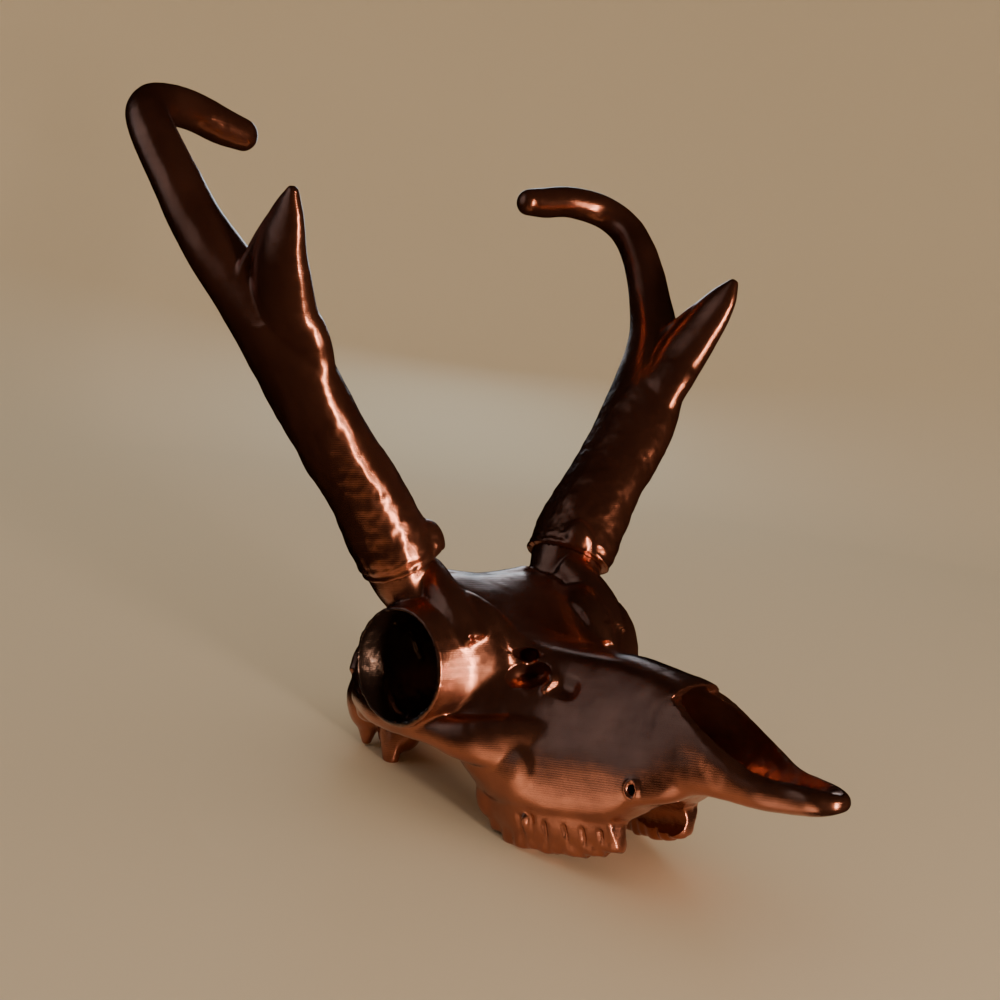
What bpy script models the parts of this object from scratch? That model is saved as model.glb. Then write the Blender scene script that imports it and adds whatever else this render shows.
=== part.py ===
"""A pronghorn antelope skull with its pair of pronged, hooked horns, as one replica cast.

Sizes are in metres. The skull is laid out first in a level frame: x to the animal's left,
y to its back, z up, zero at the biting surface of the cheek teeth. Coordinates in the tables
are millimetres in that frame. At the end everything is tipped nose up, the way the skull
lies on its back molars and on the two processes behind them, and moved over the origin.
"""

import math

import bmesh
import bpy
from mathutils import Matrix, Vector

MM = 0.001

# Main sizes, in metres
HORN_GAP = 0.0003  # clear gap between a sheath and the bone it sits on
SKULL_VOXEL = 0.0022
HORN_VOXEL = 0.0024
HOLLOW_VOXEL = 0.0020
WELD = 0.00004
FINE_WELD = 0.000004
SKULL_TRIANGLES = 6700
HORN_TRIANGLES = 1450

# Where the skull touches what it lies on: (y, z) under a back molar and under a rear process
MOLAR_HEEL = (-0.0115, -0.0033)
PROCESS_HEEL = (0.0790, 0.0192)
REST_TILT = math.atan2(PROCESS_HEEL[1] - MOLAR_HEEL[1], PROCESS_HEEL[0] - MOLAR_HEEL[0])
OVER_ORIGIN = -0.0257395  # brings the middle of the whole length over the origin

# Cross sections of the face and snout, front to back. Each is y, then the right half of the
# outline as (x, z) from the middle of the top to the middle of the underside.
FACE = [
    (-154, [(0, 34), (4, 33.5), (6.5, 31), (7, 29), (6, 27), (3, 26), (0, 26)]),
    (-147, [(0, 35), (6, 34.5), (9, 33), (10, 30), (9, 27), (5, 25), (0, 25)]),
    (-138, [(0, 36), (7, 36), (10, 35), (11.5, 31), (11, 27), (7, 24.5), (0, 25)]),
    (-126, [(0, 38), (10, 38), (14, 36.5), (15.5, 32), (14, 27), (9, 24.5), (0, 26)]),
    (-112, [(0, 45.5), (12, 46), (17, 44), (18, 37), (16.5, 29), (12, 26.5), (0, 28)]),
    (-98, [(0, 57), (12, 57), (17, 54), (19.5, 43), (20.5, 33), (15, 26.5), (0, 28)]),
    (-90, [(0, 66.5), (9, 65.5), (15.5, 60), (20.5, 46), (23, 32), (19, 23), (0, 25)]),
    (-77, [(0, 70.5), (9, 68.5), (15.5, 60.5), (22, 45), (27, 31), (25, 20.5), (0, 20)]),
    (-68, [(0, 72.5), (9.5, 70.5), (15.5, 62.5), (22.5, 47), (28, 32), (26.5, 15), (0, 14)]),
    (-55, [(0, 75), (10, 73), (16, 65), (24, 50), (30.5, 33), (29.2, 12), (0, 11)]),
    (-34, [(0, 76.5), (12, 75), (19, 67), (28, 52), (35.5, 35), (34, 12), (0, 11)]),
    (-14, [(0, 79), (18, 79), (28, 71), (37, 55), (42, 38), (37, 14), (0, 14)]),
    (4, [(0, 89), (24, 89), (40, 80), (46, 60), (48, 40), (36, 20), (0, 22)]),
    (20, [(0, 100), (30, 100), (46, 90), (46, 66), (44, 46), (30, 30), (0, 32)]),
    (38, [(0, 108), (32, 108), (46, 98), (40, 72), (34, 50), (24, 34), (0, 34)]),
    (58, [(0, 107), (24, 104), (34, 92), (34, 66), (30, 46), (22, 32), (0, 30)]),
    (78, [(0, 99), (20, 96), (34, 82), (39, 60), (36, 42), (24, 29), (0, 27)]),
    (96, [(0, 88), (18, 85), (34, 72), (41, 54), (37, 40), (22, 29), (0, 27)]),
    (108, [(0, 78), (14, 75), (28, 65), (33, 50), (28, 38), (16, 30), (0, 29)]),
    (113, [(0, 68), (8, 66), (16, 60), (19, 50), (16, 40), (9, 33), (0, 32)]),
]

# The orbit: a short cone that stands out from the side of the face and ends in a thin lip.
# Each row is centre x, y, z and the radii fore and aft and up and down.
ORBIT = [
    (26, 18, 72, 30, 24),
    (36, 20, 72, 35, 31),
    (46, 20.5, 71, 32.5, 30.5),
    (54, 23, 70.5, 28.5, 27.5),
    (60, 25, 70, 26.8, 26.2),
    (63.5, 25.5, 70, 26.2, 25.8),
]
ORBIT_TURN = math.radians(10)  # the lip faces a little forward
ORBIT_CUP = [
    (20, 25, 66, 9, 8),
    (30, 25, 68, 17, 16),
    (44, 25.3, 70, 22, 21.5),
    (58, 25.5, 70, 23.8, 23.5),
    (72, 25.5, 70, 24.4, 24.2),
]

# The plane of the nose opening: y and z of its upper edge, and its slope
NOSE_PLANE = (-87.5, 62.0, 0.655)

# Cheek teeth: y of the middle, length, and how far down each of its columns reaches
TEETH = [
    (-60.5, 7.5, (-0.6,)),
    (-53, 8.0, (-3.0,)),
    (-44.5, 9.0, (-4.6,)),
    (-34.5, 11.0, (-4.4, -5.2)),
    (-22.5, 13.0, (-4.4, -5.0)),
    (-7.5, 17.0, (-4.6, -0.9)),
]
TOOTH_OUTER = [(-66, 25.0), (-48, 30.5), (-20, 36.5), (2, 35.5)]  # y, x of the outer face

# Middle line of the left horn: x, y, z, half depth fore and aft, half width, turn of the
# front edge outward in degrees
HORN = [
    (46.5, 40.0, 108.0, 20.0, 15.0, 14),
    (50.5, 40.0, 114.5, 22.4, 16.8, 14),
    (54.5, 40.0, 121.0, 24.0, 17.8, 14),
    (60.5, 40.5, 131.0, 24.2, 17.0, 14),
    (71.0, 39.0, 147.0, 23.4, 15.8, 13),
    (83.5, 38.5, 163.0, 23.6, 15.0, 12),
    (95.0, 37.5, 179.0, 24.4, 14.6, 11),
    (105.0, 38.5, 196.0, 24.2, 14.0, 6),
    (114.5, 42.0, 212.0, 21.0, 13.2, 7),
    (123.5, 47.0, 228.0, 17.5, 12.2, 3),
    (131.5, 54.0, 243.0, 14.2, 11.6, 0),
    (138.0, 62.0, 259.0, 12.4, 10.8, 0),
    (143.0, 70.0, 277.0, 11.2, 10.3, 0),
    (147.0, 79.8, 295.0, 10.4, 9.9, 0),
    (147.2, 91.0, 311.0, 9.8, 9.6, 0),
    (138.0, 101.0, 321.5, 9.6, 9.3, 0),
    (120.0, 108.0, 325.0, 9.4, 9.0, 0),
    (103.0, 111.0, 322.4, 9.0, 8.6, 0),
    (91.0, 111.5, 320.6, 8.0, 7.6, 0),
]
# Where the sheath ends: a point of its middle line, and the way the horn leaves it
SHEATH_BASE = (50.5, 40.0, 114.5)
SHEATH_AXIS = (0.524, 0.0, 0.852)
# The prong that leaves the front of the horn, in the same terms
PRONG = [
    (99.0, 38.0, 176.0, 12.0, 8.0, 10),
    (102.0, 34.0, 190.0, 19.8, 9.5, 7),
    (106.5, 30.5, 201.0, 20.3, 10.5, 3),
    (112.0, 27.5, 210.0, 21.0, 10.3, 1),
    (117.5, 24.2, 219.0, 19.3, 10.0, 1),
    (125.2, 12.5, 236.5, 15.0, 7.8, 0),
    (128.6, 1.0, 249.5, 9.8, 5.2, 0),
    (130.2, -5.5, 257.4, 3.6, 2.6, 0),
]
# The web that fills the angle between the prong and the hook
WEB = [
    (110.0, 36.0, 200.0, 14.0, 11.0, 6),
    (118.0, 34.0, 216.0, 13.0, 10.0, 3),
    (124.5, 32.5, 230.0, 11.0, 8.6, 0),
    (129.0, 31.5, 239.0, 8.0, 7.2, 0),
    (131.0, 31.0, 244.5, 4.0, 4.6, 0),
]
# The bony peg under the sheath
PEDICLE = [
    (42.0, 34.0, 84.0, 19.0, 12.5, 14),
    (44.5, 37.5, 96.0, 17.0, 11.5, 14),
    (48.0, 39.5, 107.0, 17.5, 12.5, 14),
    (52.5, 40.0, 117.5, 18.8, 13.8, 14),
    (55.0, 40.0, 121.5, 18.8, 13.8, 14),
]


def clear_scene():
    """Take out whatever the scene starts with."""
    for item in list(bpy.data.objects):
        bpy.data.objects.remove(item, do_unlink=True)


def new_collection(name, helpers=False):
    """A collection of that name; one for helpers isn't rendered."""
    made = bpy.data.collections.new(name)
    bpy.context.scene.collection.children.link(made)
    made.hide_render = helpers
    return made


def through(points, spans):
    """A smooth run through the rows of a table, with that many steps between two rows."""
    rows = [Vector(p) for p in points]
    rows = [2 * rows[0] - rows[1]] + rows + [2 * rows[-1] - rows[-2]]
    made = []
    for i in range(1, len(rows) - 2):
        a, b, c, d = rows[i - 1 : i + 3]
        for k in range(spans):
            t = k / spans
            made.append(
                0.5 * (2 * b + (c - a) * t + (2 * a - 5 * b + 4 * c - d) * t**2
                       + (3 * b - a - 3 * c + d) * t**3)
            )
    made.append(rows[-2])
    return made


def lofted(bm, rings, closed_ends=True):
    """Skin a run of rings that all have the same number of points."""
    made = [[bm.verts.new(p) for p in ring] for ring in rings]
    count = len(made[0])
    for one, two in zip(made, made[1:]):
        for i in range(count):
            j = (i + 1) % count
            bm.faces.new((one[i], one[j], two[j], two[i]))
    if closed_ends:
        for ring in (made[0], made[-1]):
            centre = bm.verts.new(sum((v.co for v in ring), Vector()) / count)
            for i in range(count):
                bm.faces.new((ring[i], ring[(i + 1) % count], centre))


def swept(bm, table, side=1, spans=4, count=28, front=(0, -1, 0)):
    """An oval bar along a table of x, y, z, half depth, half width and turn."""
    rows = through([Vector(r) for r in table], spans)
    centres = [Vector((r[0] * side, r[1], r[2])) for r in rows]
    rings = []
    for i, row in enumerate(rows):
        along = centres[min(i + 1, len(rows) - 1)] - centres[max(i - 1, 0)]
        along.normalize()
        turn = math.radians(row[5])
        ahead = Vector((math.sin(turn) * side, -math.cos(turn), 0)) if front else None
        ahead = ahead - along * ahead.dot(along)
        ahead.normalize()
        across = along.cross(ahead)
        ring = []
        for k in range(count):
            angle = 2 * math.pi * k / count
            ring.append(
                centres[i] + ahead * (row[3] * math.cos(angle)) + across * (row[4] * math.sin(angle))
            )
        rings.append(ring)
    lofted(bm, rings)


def rod(bm, points, side=1, count=14, spans=3):
    """A round bar along points x, y, z, radius up and down, radius across."""
    rows = through([Vector(p) for p in points], spans)
    centres = [Vector((r[0] * side, r[1], r[2])) for r in rows]
    rings = []
    for i, row in enumerate(rows):
        along = centres[min(i + 1, len(rows) - 1)] - centres[max(i - 1, 0)]
        along.normalize()
        up = Vector((0, 0, 1)) if abs(along.z) < 0.9 else Vector((0, 1, 0))
        up = (up - along * up.dot(along)).normalized()
        across = along.cross(up)
        ring = []
        for k in range(count):
            angle = 2 * math.pi * k / count
            ring.append(
                centres[i] + up * (row[3] * math.cos(angle)) + across * (row[4] * math.sin(angle))
            )
        rings.append(ring)
    lofted(bm, rings)


def ball(bm, centre, radii, side=1, turn=0.0, axis="X"):
    """An egg shape."""
    place = Matrix.Translation((centre[0] * side, centre[1], centre[2]))
    place = place @ Matrix.Rotation(turn, 4, axis) @ Matrix.Diagonal((*radii, 1))
    bmesh.ops.create_uvsphere(bm, u_segments=24, v_segments=14, radius=1.0, matrix=place)


def block(bm, low, high, side=1):
    """A box between two corners."""
    centre = [(a + b) / 2 for a, b in zip(low, high)]
    size = [abs(b - a) for a, b in zip(low, high)]
    place = Matrix.Translation((centre[0] * side, centre[1], centre[2]))
    bmesh.ops.create_cube(bm, size=1.0, matrix=place @ Matrix.Diagonal((*size, 1)))


def disc_stack(bm, table, side, turn, count=32):
    """Ovals stacked out to the side: centre x, y, z, radius fore and aft, radius up and down."""
    rings = []
    for x, y, z, deep, tall in through([Vector(r) for r in table], 3):
        ring = []
        for k in range(count):
            angle = 2 * math.pi * k / count
            ahead = deep * math.cos(angle)
            ring.append(
                Vector((
                    (x + ahead * math.sin(turn)) * side,
                    y + ahead * math.cos(turn),
                    z + tall * math.sin(angle),
                ))
            )
        rings.append(ring)
    lofted(bm, rings)


def collar(bm, side, low, high, radius):
    """A plain round block along the sheath's axis, between two heights above its end."""
    axis = Vector((SHEATH_AXIS[0] * side, SHEATH_AXIS[1], SHEATH_AXIS[2])).normalized()
    base = Vector((SHEATH_BASE[0] * side, SHEATH_BASE[1], SHEATH_BASE[2]))
    turn = axis.to_track_quat("Z", "Y").to_matrix().to_4x4()
    place = Matrix.Translation(base + axis * (low + high) / 2) @ turn
    bmesh.ops.create_cone(
        bm, segments=32, radius1=radius, radius2=radius, depth=high - low, cap_ends=True, matrix=place
    )


def face_loft(bm):
    """The face, the snout and the braincase as one tapering body."""
    flat = [[y] + [v for xz in half for v in xz] for y, half in FACE]
    rings = []
    for row in through([Vector(r) for r in flat], 4):
        half = [Vector((row[1 + 2 * k], row[0], row[2 + 2 * k])) for k in range(7)]
        line = through([tuple(p) for p in half], 4)
        other = [Vector((-p.x, p.y, p.z)) for p in reversed(line[1:-1])]
        rings.append(line + other)
    lofted(bm, rings)


def tooth_row(bm, side):
    """Six cheek teeth, each of one or two rounded columns with a groove between them."""
    for middle, length, reach in TEETH:
        lobes = len(reach)
        for lobe, low in enumerate(reach):
            y = middle + length * ((lobe + 0.5) / lobes - 0.5)
            outer = tooth_outer(y)
            depth = length / lobes / 2 + 0.3
            rod(
                bm,
                [
                    (outer - 6.8, y, 20, depth, 6.6),
                    (outer - 6.6, y, low + 7, depth, 6.4),
                    (outer - 6.4, y, low + 2.0, depth * 0.96, 5.9),
                    (outer - 6.2, y, low, depth * 0.8, 4.8),
                ],
                side,
            )


def tooth_outer(y):
    """x of the outer face of the tooth row at that y."""
    for (y0, x0), (y1, x1) in zip(TOOTH_OUTER, TOOTH_OUTER[1:]):
        if y <= y1:
            share = max(0.0, (y - y0) / (y1 - y0))
            return x0 + (x1 - x0) * share
    return TOOTH_OUTER[-1][1]


def skull_forms(bm):
    """Everything of the skull that stands out, before its hollows are cut."""
    face_loft(bm)
    rod(bm, [(-30, 46, 103, 9, 10), (0, 45, 101, 8, 12), (30, 46, 103, 9, 10)])
    for side in (-1, 1):
        disc_stack(bm, ORBIT, side, ORBIT_TURN)
        swept(bm, PEDICLE, side)
        rod(bm, [(43, 32, 110, 9, 8), (44, 19, 101, 9, 8), (43.5, 7, 91, 8, 8), (41, -2, 80, 6, 7)], side)
        ball(bm, (36, 50, 103), (10, 12, 8), side)
        ball(bm, (33, 1, 16), (5.5, 6, 11), side)
        ball(bm, (37, -4, 27), (6, 11, 9), side)
        rod(
            bm,
            [
                (30, -30, 36, 5, 4), (40, -16, 38, 7, 6), (49, -2, 40, 8, 6), (54, 14, 43, 6.5, 4.5),
                (58, 34, 45.5, 6, 4), (57, 54, 48, 6, 3.5), (52, 68, 50, 6, 4), (43, 84, 52, 8, 6),
            ],
            side,
        )
        ball(bm, (40, 78, 44), (9, 9, 6), side)
        ball(bm, (31, 97, 47), (11, 12, 16), side)
        rod(bm, [(31, 96, 42, 9, 7), (31.5, 98, 33, 6, 4.6), (31, 100, 24.5, 2.6, 2.2)], side)
        ball(bm, (24, 81, 31), (10, 12, 9), side)
        rod(bm, [(28, 80, 34, 9.5, 6), (30, 79.5, 26, 6.8, 4.6), (31, 79, 17.0, 3.8, 3.6)], side)
        ball(bm, (14, 109, 44), (9.5, 9, 12), side)
        rod(bm, [(13, 2, 24, 10, 3), (14, 20, 27, 9, 2.6), (15, 40, 33, 8, 2.6)], side)
        tooth_row(bm, side)
    rod(bm, [(-37, 101, 60, 4, 3), (-30, 105, 70, 3.5, 3), (-16, 107.5, 78, 3.5, 3.5), (0, 108, 81, 4, 4),
             (16, 107.5, 78, 3.5, 3.5), (30, 105, 70, 3.5, 3), (37, 101, 60, 4, 3)])


def skull_hollows(bm):
    """Everything that is cut from the skull."""
    nose = [
        (0, -172, 40, 7, 5), (0, -150, 40, 7.5, 5.5), (0, -130, 40, 11, 10), (0, -112, 44, 14, 14),
        (0, -98, 48, 17, 15.5), (0, -84, 48, 17, 14), (0, -64, 50, 14, 11), (0, -50, 50, 6, 6),
    ]
    rod(bm, nose, count=24)
    palate = [(0, -92, 12, 8, 10), (0, -70, 8, 10, 17), (0, -40, 5, 11, 21), (0, -8, 6, 11, 22),
              (0, 10, 14, 11, 19), (0, 22, 20, 9, 10)]
    rod(bm, palate, count=24)
    rod(bm, [(0, 12, 22, 10, 8), (0, 24, 30, 12, 10), (0, 44, 18, 10, 11)], count=20)
    rod(bm, [(0, 70, 52, 9, 9), (0, 98, 52, 9.5, 9.5), (0, 124, 52, 10, 10)], count=20)
    for side in (-1, 1):
        disc_stack(bm, ORBIT_CUP, side, ORBIT_TURN)
        rod(bm, [(5.0, -110, 29, 6, 2.2), (4.8, -122, 29, 8, 2.4), (4.2, -136, 29, 8, 2.0)], side)
        rod(
            bm,
            [(12, -4, 73, 3, 3), (21, -12, 74.5, 3.2, 5), (31, -21, 77.5, 3.4, 7)],
            side,
        )
        ball(bm, (27.5, -19.5, 66.5), (9, 9.5, 5.8), side, math.radians(-12))
        rod(bm, [(20, -69, 27.5, 2.2, 2.2), (27, -78.5, 27.5, 2.6, 2.2), (34, -88, 27.5, 3.4, 3.0)], side)
        ball(bm, (48, 66, 74), (14, 15, 24), side)
        ball(bm, (44, 60, 58), (8, 12, 14), side)


def nose_wedge(bm):
    """A tipped block that trims the nose opening to one slanting plane."""
    y, z, slope = NOSE_PLANE
    place = Matrix.Translation((0, y, z)) @ Matrix.Rotation(math.atan(slope), 4, "X")
    place = place @ Matrix.Translation((0, -22, 15)) @ Matrix.Diagonal((60, 44, 30, 1))
    bmesh.ops.create_cube(bm, size=1.0, matrix=place)


def from_bmesh(name, bm, collection):
    """An object of that name from a bmesh, with its faces turned outward."""
    bmesh.ops.recalc_face_normals(bm, faces=bm.faces)
    mesh = bpy.data.meshes.new(name)
    bm.to_mesh(mesh)
    bm.free()
    item = bpy.data.objects.new(name, mesh)
    collection.objects.link(item)
    return item


def settled(item, name, collection):
    """A plain copy of an object with its modifiers worked out."""
    bpy.context.view_layer.update()
    graph = bpy.context.evaluated_depsgraph_get()
    mesh = bpy.data.meshes.new_from_object(item.evaluated_get(graph))
    mesh.name = name
    made = bpy.data.objects.new(name, mesh)
    collection.objects.link(made)
    return made


def fused(item, voxel, rounds, factor=0.5):
    """Fuse overlapping forms into one skin and ease the joins."""
    remesh = item.modifiers.new("fuse", "REMESH")
    remesh.mode = "VOXEL"
    remesh.voxel_size = voxel
    if rounds:
        ease = item.modifiers.new("ease", "SMOOTH")
        ease.factor = factor
        ease.iterations = rounds


def cut(item, cutter, name="cut"):
    """Cut one mesh from another."""
    made = item.modifiers.new(name, "BOOLEAN")
    made.operation = "DIFFERENCE"
    made.solver = "EXACT"
    made.object = cutter


def tidied(item, within):
    """Weld points that a cut left almost on top of each other."""
    bm = bmesh.new()
    bm.from_mesh(item.data)
    bmesh.ops.triangulate(bm, faces=bm.faces)
    bmesh.ops.remove_doubles(bm, verts=bm.verts, dist=within)
    bmesh.ops.dissolve_degenerate(bm, edges=bm.edges, dist=within)
    bmesh.ops.triangulate(bm, faces=bm.faces)
    bm.to_mesh(item.data)
    bm.free()


def thinned(item, triangles):
    """Fewer triangles where the surface is plain."""
    item.data.calc_loop_triangles()
    made = item.modifiers.new("thin", "DECIMATE")
    made.decimate_type = "COLLAPSE"
    made.use_collapse_triangulate = True
    made.ratio = min(1.0, triangles / len(item.data.loop_triangles))


def scaled(bm):
    """Millimetres to metres."""
    bmesh.ops.scale(bm, vec=(MM, MM, MM), verts=bm.verts)
    return bm


def rest_place():
    """From the level frame to the skull lying nose up, with the ground at zero."""
    turn = Matrix.Rotation(-REST_TILT, 4, "X")
    heel = turn @ Vector((0, MOLAR_HEEL[0], MOLAR_HEEL[1]))
    return Matrix.Translation((0, 0, -heel.z)) @ turn


def copper(name, colour):
    """A glossy copper-coloured plastic."""
    made = bpy.data.materials.new(name)
    made.use_nodes = True
    shader = made.node_tree.nodes["Principled BSDF"]
    shader.inputs["Base Color"].default_value = (*colour, 1)
    shader.inputs["Metallic"].default_value = 0.55
    shader.inputs["Roughness"].default_value = 0.3
    return made


def finish(item, name, material, keep):
    """Name a part, give it its finish and shade it smooth."""
    item.name = name
    item.data.name = name
    item.data.materials.clear()
    item.data.materials.append(material)
    item.data.shade_smooth()
    for other in list(item.users_collection):
        other.objects.unlink(item)
    keep.objects.link(item)


def main():
    clear_scene()
    kept = new_collection("pronghorn_skull")
    helpers = new_collection("helpers", helpers=True)

    bm = bmesh.new()
    skull_forms(bm)
    raw = from_bmesh("skull_forms", scaled(bm), helpers)
    fused(raw, SKULL_VOXEL, 5)
    body = settled(raw, "skull_body", helpers)

    bm = bmesh.new()
    skull_hollows(bm)
    raw_hollows = from_bmesh("skull_hollow_forms", scaled(bm), helpers)
    fused(raw_hollows, HOLLOW_VOXEL, 3)
    hollows = settled(raw_hollows, "skull_hollows", helpers)

    horn_bm = bmesh.new()
    swept(horn_bm, HORN)
    swept(horn_bm, PRONG)
    swept(horn_bm, WEB)
    ball(horn_bm, (46.5, 27, 122), (8, 9.5, 12))
    ball(horn_bm, (91, 111.5, 320.6), (7, 8, 7.6))
    horn_raw = from_bmesh("horn_forms", scaled(horn_bm), helpers)
    fused(horn_raw, HORN_VOXEL, 4)
    horn_body = settled(horn_raw, "horn_body", helpers)

    gap = HORN_GAP / MM / 2
    room_bm = bmesh.new()
    for side in (-1, 1):
        collar(room_bm, side, -gap, 30, 28)
    room = from_bmesh("horn_room", scaled(room_bm), helpers)
    end_bm = bmesh.new()
    collar(end_bm, 1, -30, gap, 40)
    sheath_end = from_bmesh("sheath_end", scaled(end_bm), helpers)
    cut(horn_body, sheath_end, "sheath_end")
    horn_cut = settled(horn_body, "horn_cut", helpers)
    tidied(horn_cut, WELD)

    wedge_bm = bmesh.new()
    nose_wedge(wedge_bm)
    wedge = from_bmesh("nose_wedge", scaled(wedge_bm), helpers)
    cut(body, wedge, "nose_wedge")
    cut(body, hollows, "hollows")
    cut(body, room, "horn_room")
    shaped = settled(body, "skull_shaped", helpers)
    place = rest_place()
    shaped.data.transform(place)
    horn_cut.data.transform(place)

    ground_bm = bmesh.new()
    block(ground_bm, (-200, -300, -60), (200, 300, 0))
    ground = from_bmesh("ground_cut", scaled(ground_bm), helpers)
    tidied(shaped, WELD)
    thinned(shaped, SKULL_TRIANGLES)
    thin = settled(shaped, "skull_thin", helpers)
    cut(thin, ground, "flats")
    skull = settled(thin, "skull", helpers)
    tidied(skull, FINE_WELD)
    thinned(horn_cut, HORN_TRIANGLES)
    horn_left = settled(horn_cut, "horn_left", helpers)

    over_origin = Matrix.Translation((0, OVER_ORIGIN, 0))
    skull.data.transform(over_origin)
    horn_left.data.transform(over_origin)

    horn_right = bpy.data.objects.new("horn_right", horn_left.data.copy())
    helpers.objects.link(horn_right)
    horn_right.data.transform(Matrix.Diagonal((-1, 1, 1, 1)))
    horn_right.data.flip_normals()

    finish(skull, "skull", copper("skull_copper", (0.45, 0.16, 0.08)), kept)
    finish(horn_left, "horn_left", copper("horn_left_copper", (0.40, 0.13, 0.07)), kept)
    finish(horn_right, "horn_right", copper("horn_right_copper", (0.40, 0.13, 0.07)), kept)
    for item in list(helpers.objects):
        item.display_type = "WIRE"
        item.hide_render = True


main()
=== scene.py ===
"""Looks of a pronghorn antelope skull with its two hooked horns, a glossy copper replica cast.

Every form is laid out in the level frame: millimetres, x to the animal's left, y to its back,
z up, zero at the biting surface of the cheek teeth. A finished piece is then carried to the
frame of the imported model, where the skull lies nose up on its back molars and on the two
processes behind them.
"""

import logging
import math
from dataclasses import dataclass, field
from enum import Enum

import bmesh
import bpy
import numpy as np
from mathutils import Matrix, Vector, noise


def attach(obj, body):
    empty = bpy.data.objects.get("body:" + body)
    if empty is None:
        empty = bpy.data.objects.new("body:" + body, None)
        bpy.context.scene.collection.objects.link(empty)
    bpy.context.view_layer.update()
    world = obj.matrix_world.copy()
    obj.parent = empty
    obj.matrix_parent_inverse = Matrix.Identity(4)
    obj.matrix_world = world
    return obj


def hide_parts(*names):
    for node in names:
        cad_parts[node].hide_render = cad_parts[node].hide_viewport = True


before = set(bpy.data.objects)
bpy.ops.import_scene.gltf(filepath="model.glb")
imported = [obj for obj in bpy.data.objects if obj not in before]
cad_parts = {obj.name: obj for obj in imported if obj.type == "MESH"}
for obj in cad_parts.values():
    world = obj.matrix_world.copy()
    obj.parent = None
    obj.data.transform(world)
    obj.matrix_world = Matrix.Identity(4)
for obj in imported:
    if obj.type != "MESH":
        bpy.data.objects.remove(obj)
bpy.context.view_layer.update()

MM = 0.001
SIDES = (-1, 1)
SHARP_DEGREES = 50  # edges that turn more than this are shaded sharp
CUT_DEGREES = 42  # edges of a cut that turn more than this are eased
MERGE_DISTANCE = 0.05  # points nearer than this become one, in millimetres
SLIVER_LENGTH = 0.03  # edges shorter than this go, in millimetres
NOISE_FALL = 0.8  # how fast each finer octave of the lumps weakens
NOISE_STEP = 2.1  # how much finer each octave is than the one before
WAVER_PITCH = 0.22  # waves in a stroke's line, for each millimetre
NOISE_SEED = 7  # without it the strokes would waver in another way on each run
STEEP = 0.9  # a rod whose direction rises more than this takes its first radius from y
# CUP_BEND to CUP_EDGE shape the mask that paints shade into the orbits' cups.
CUP_BEND = 0.044  # metres from the middle plane to where an orbit's wall bends
CUP_RADIUS = 0.0233  # the orbit's radius at the bend, in metres
CUP_SLOPES = (0.42, 0.12)  # how fast the orbit widens within the bend and outside it
CUP_EDGE = (-0.0002, 0.0009)  # where the orbit's shade starts and is full, in metres
WARM_LIGHT = (1.0, 0.79, 0.62)
GLOW_LIGHT = (1.0, 0.8, 0.6)
Row = tuple[float, ...]
Sockets = tuple[tuple[str, str], ...]

log = logging.getLogger("skull_scene")


class Solver(Enum):
    """Which way a cut is worked out."""

    FAST = "MANIFOLD"
    EXACT = "EXACT"


class Lean(Enum):
    """Whether a stroke raises the surface or sinks it."""

    RAISE = 1.0
    SINK = -1.0


def through(rows: list[Row], spans: int) -> list[Vector]:
    """A smooth run through the rows of a table.

    Args:
        rows: The rows, each with the same count of numbers.
        spans: How many steps lie between two rows.

    Returns:
        The rows with the steps between them.
    """
    points = [Vector(row) for row in rows]
    points = [2 * points[0] - points[1]] + points + [2 * points[-1] - points[-2]]
    made = []
    for i in range(1, len(points) - 2):
        a, b, c, d = points[i - 1 : i + 3]
        for k in range(spans):
            t = k / spans
            square = (2 * a - 5 * b + 4 * c - d) * t**2
            cube = (3 * b - a - 3 * c + d) * t**3
            made.append(0.5 * (2 * b + (c - a) * t + square + cube))
    made.append(points[-2])
    return made


def sided(point: Row, side: int) -> tuple[float, float, float]:
    """The point, or its mirror image for the animal's right side."""
    return (point[0] * side, point[1], point[2])


@dataclass(frozen=True)
class Lay:
    """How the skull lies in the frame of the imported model."""

    molar_heel: tuple[float, float] = (-11.5, -3.3)
    process_heel: tuple[float, float] = (79.0, 19.2)
    shift: float = -25.7395

    def tilt(self) -> float:
        """The angle that the nose is tipped up, in radians."""
        rise = self.process_heel[1] - self.molar_heel[1]
        return math.atan2(rise, self.process_heel[0] - self.molar_heel[0])

    def in_millimetres(self) -> Matrix:
        """From the level frame to the resting one, both in millimetres.

        Returns:
            The matrix.
        """
        turn = Matrix.Rotation(-self.tilt(), 4, "X")
        heel = turn @ Vector((0, *self.molar_heel))
        return Matrix.Translation((0, self.shift, -heel.z)) @ turn

    def matrix(self) -> Matrix:
        """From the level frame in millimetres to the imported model's frame in metres."""
        return Matrix.Scale(MM, 4) @ self.in_millimetres()


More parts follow.
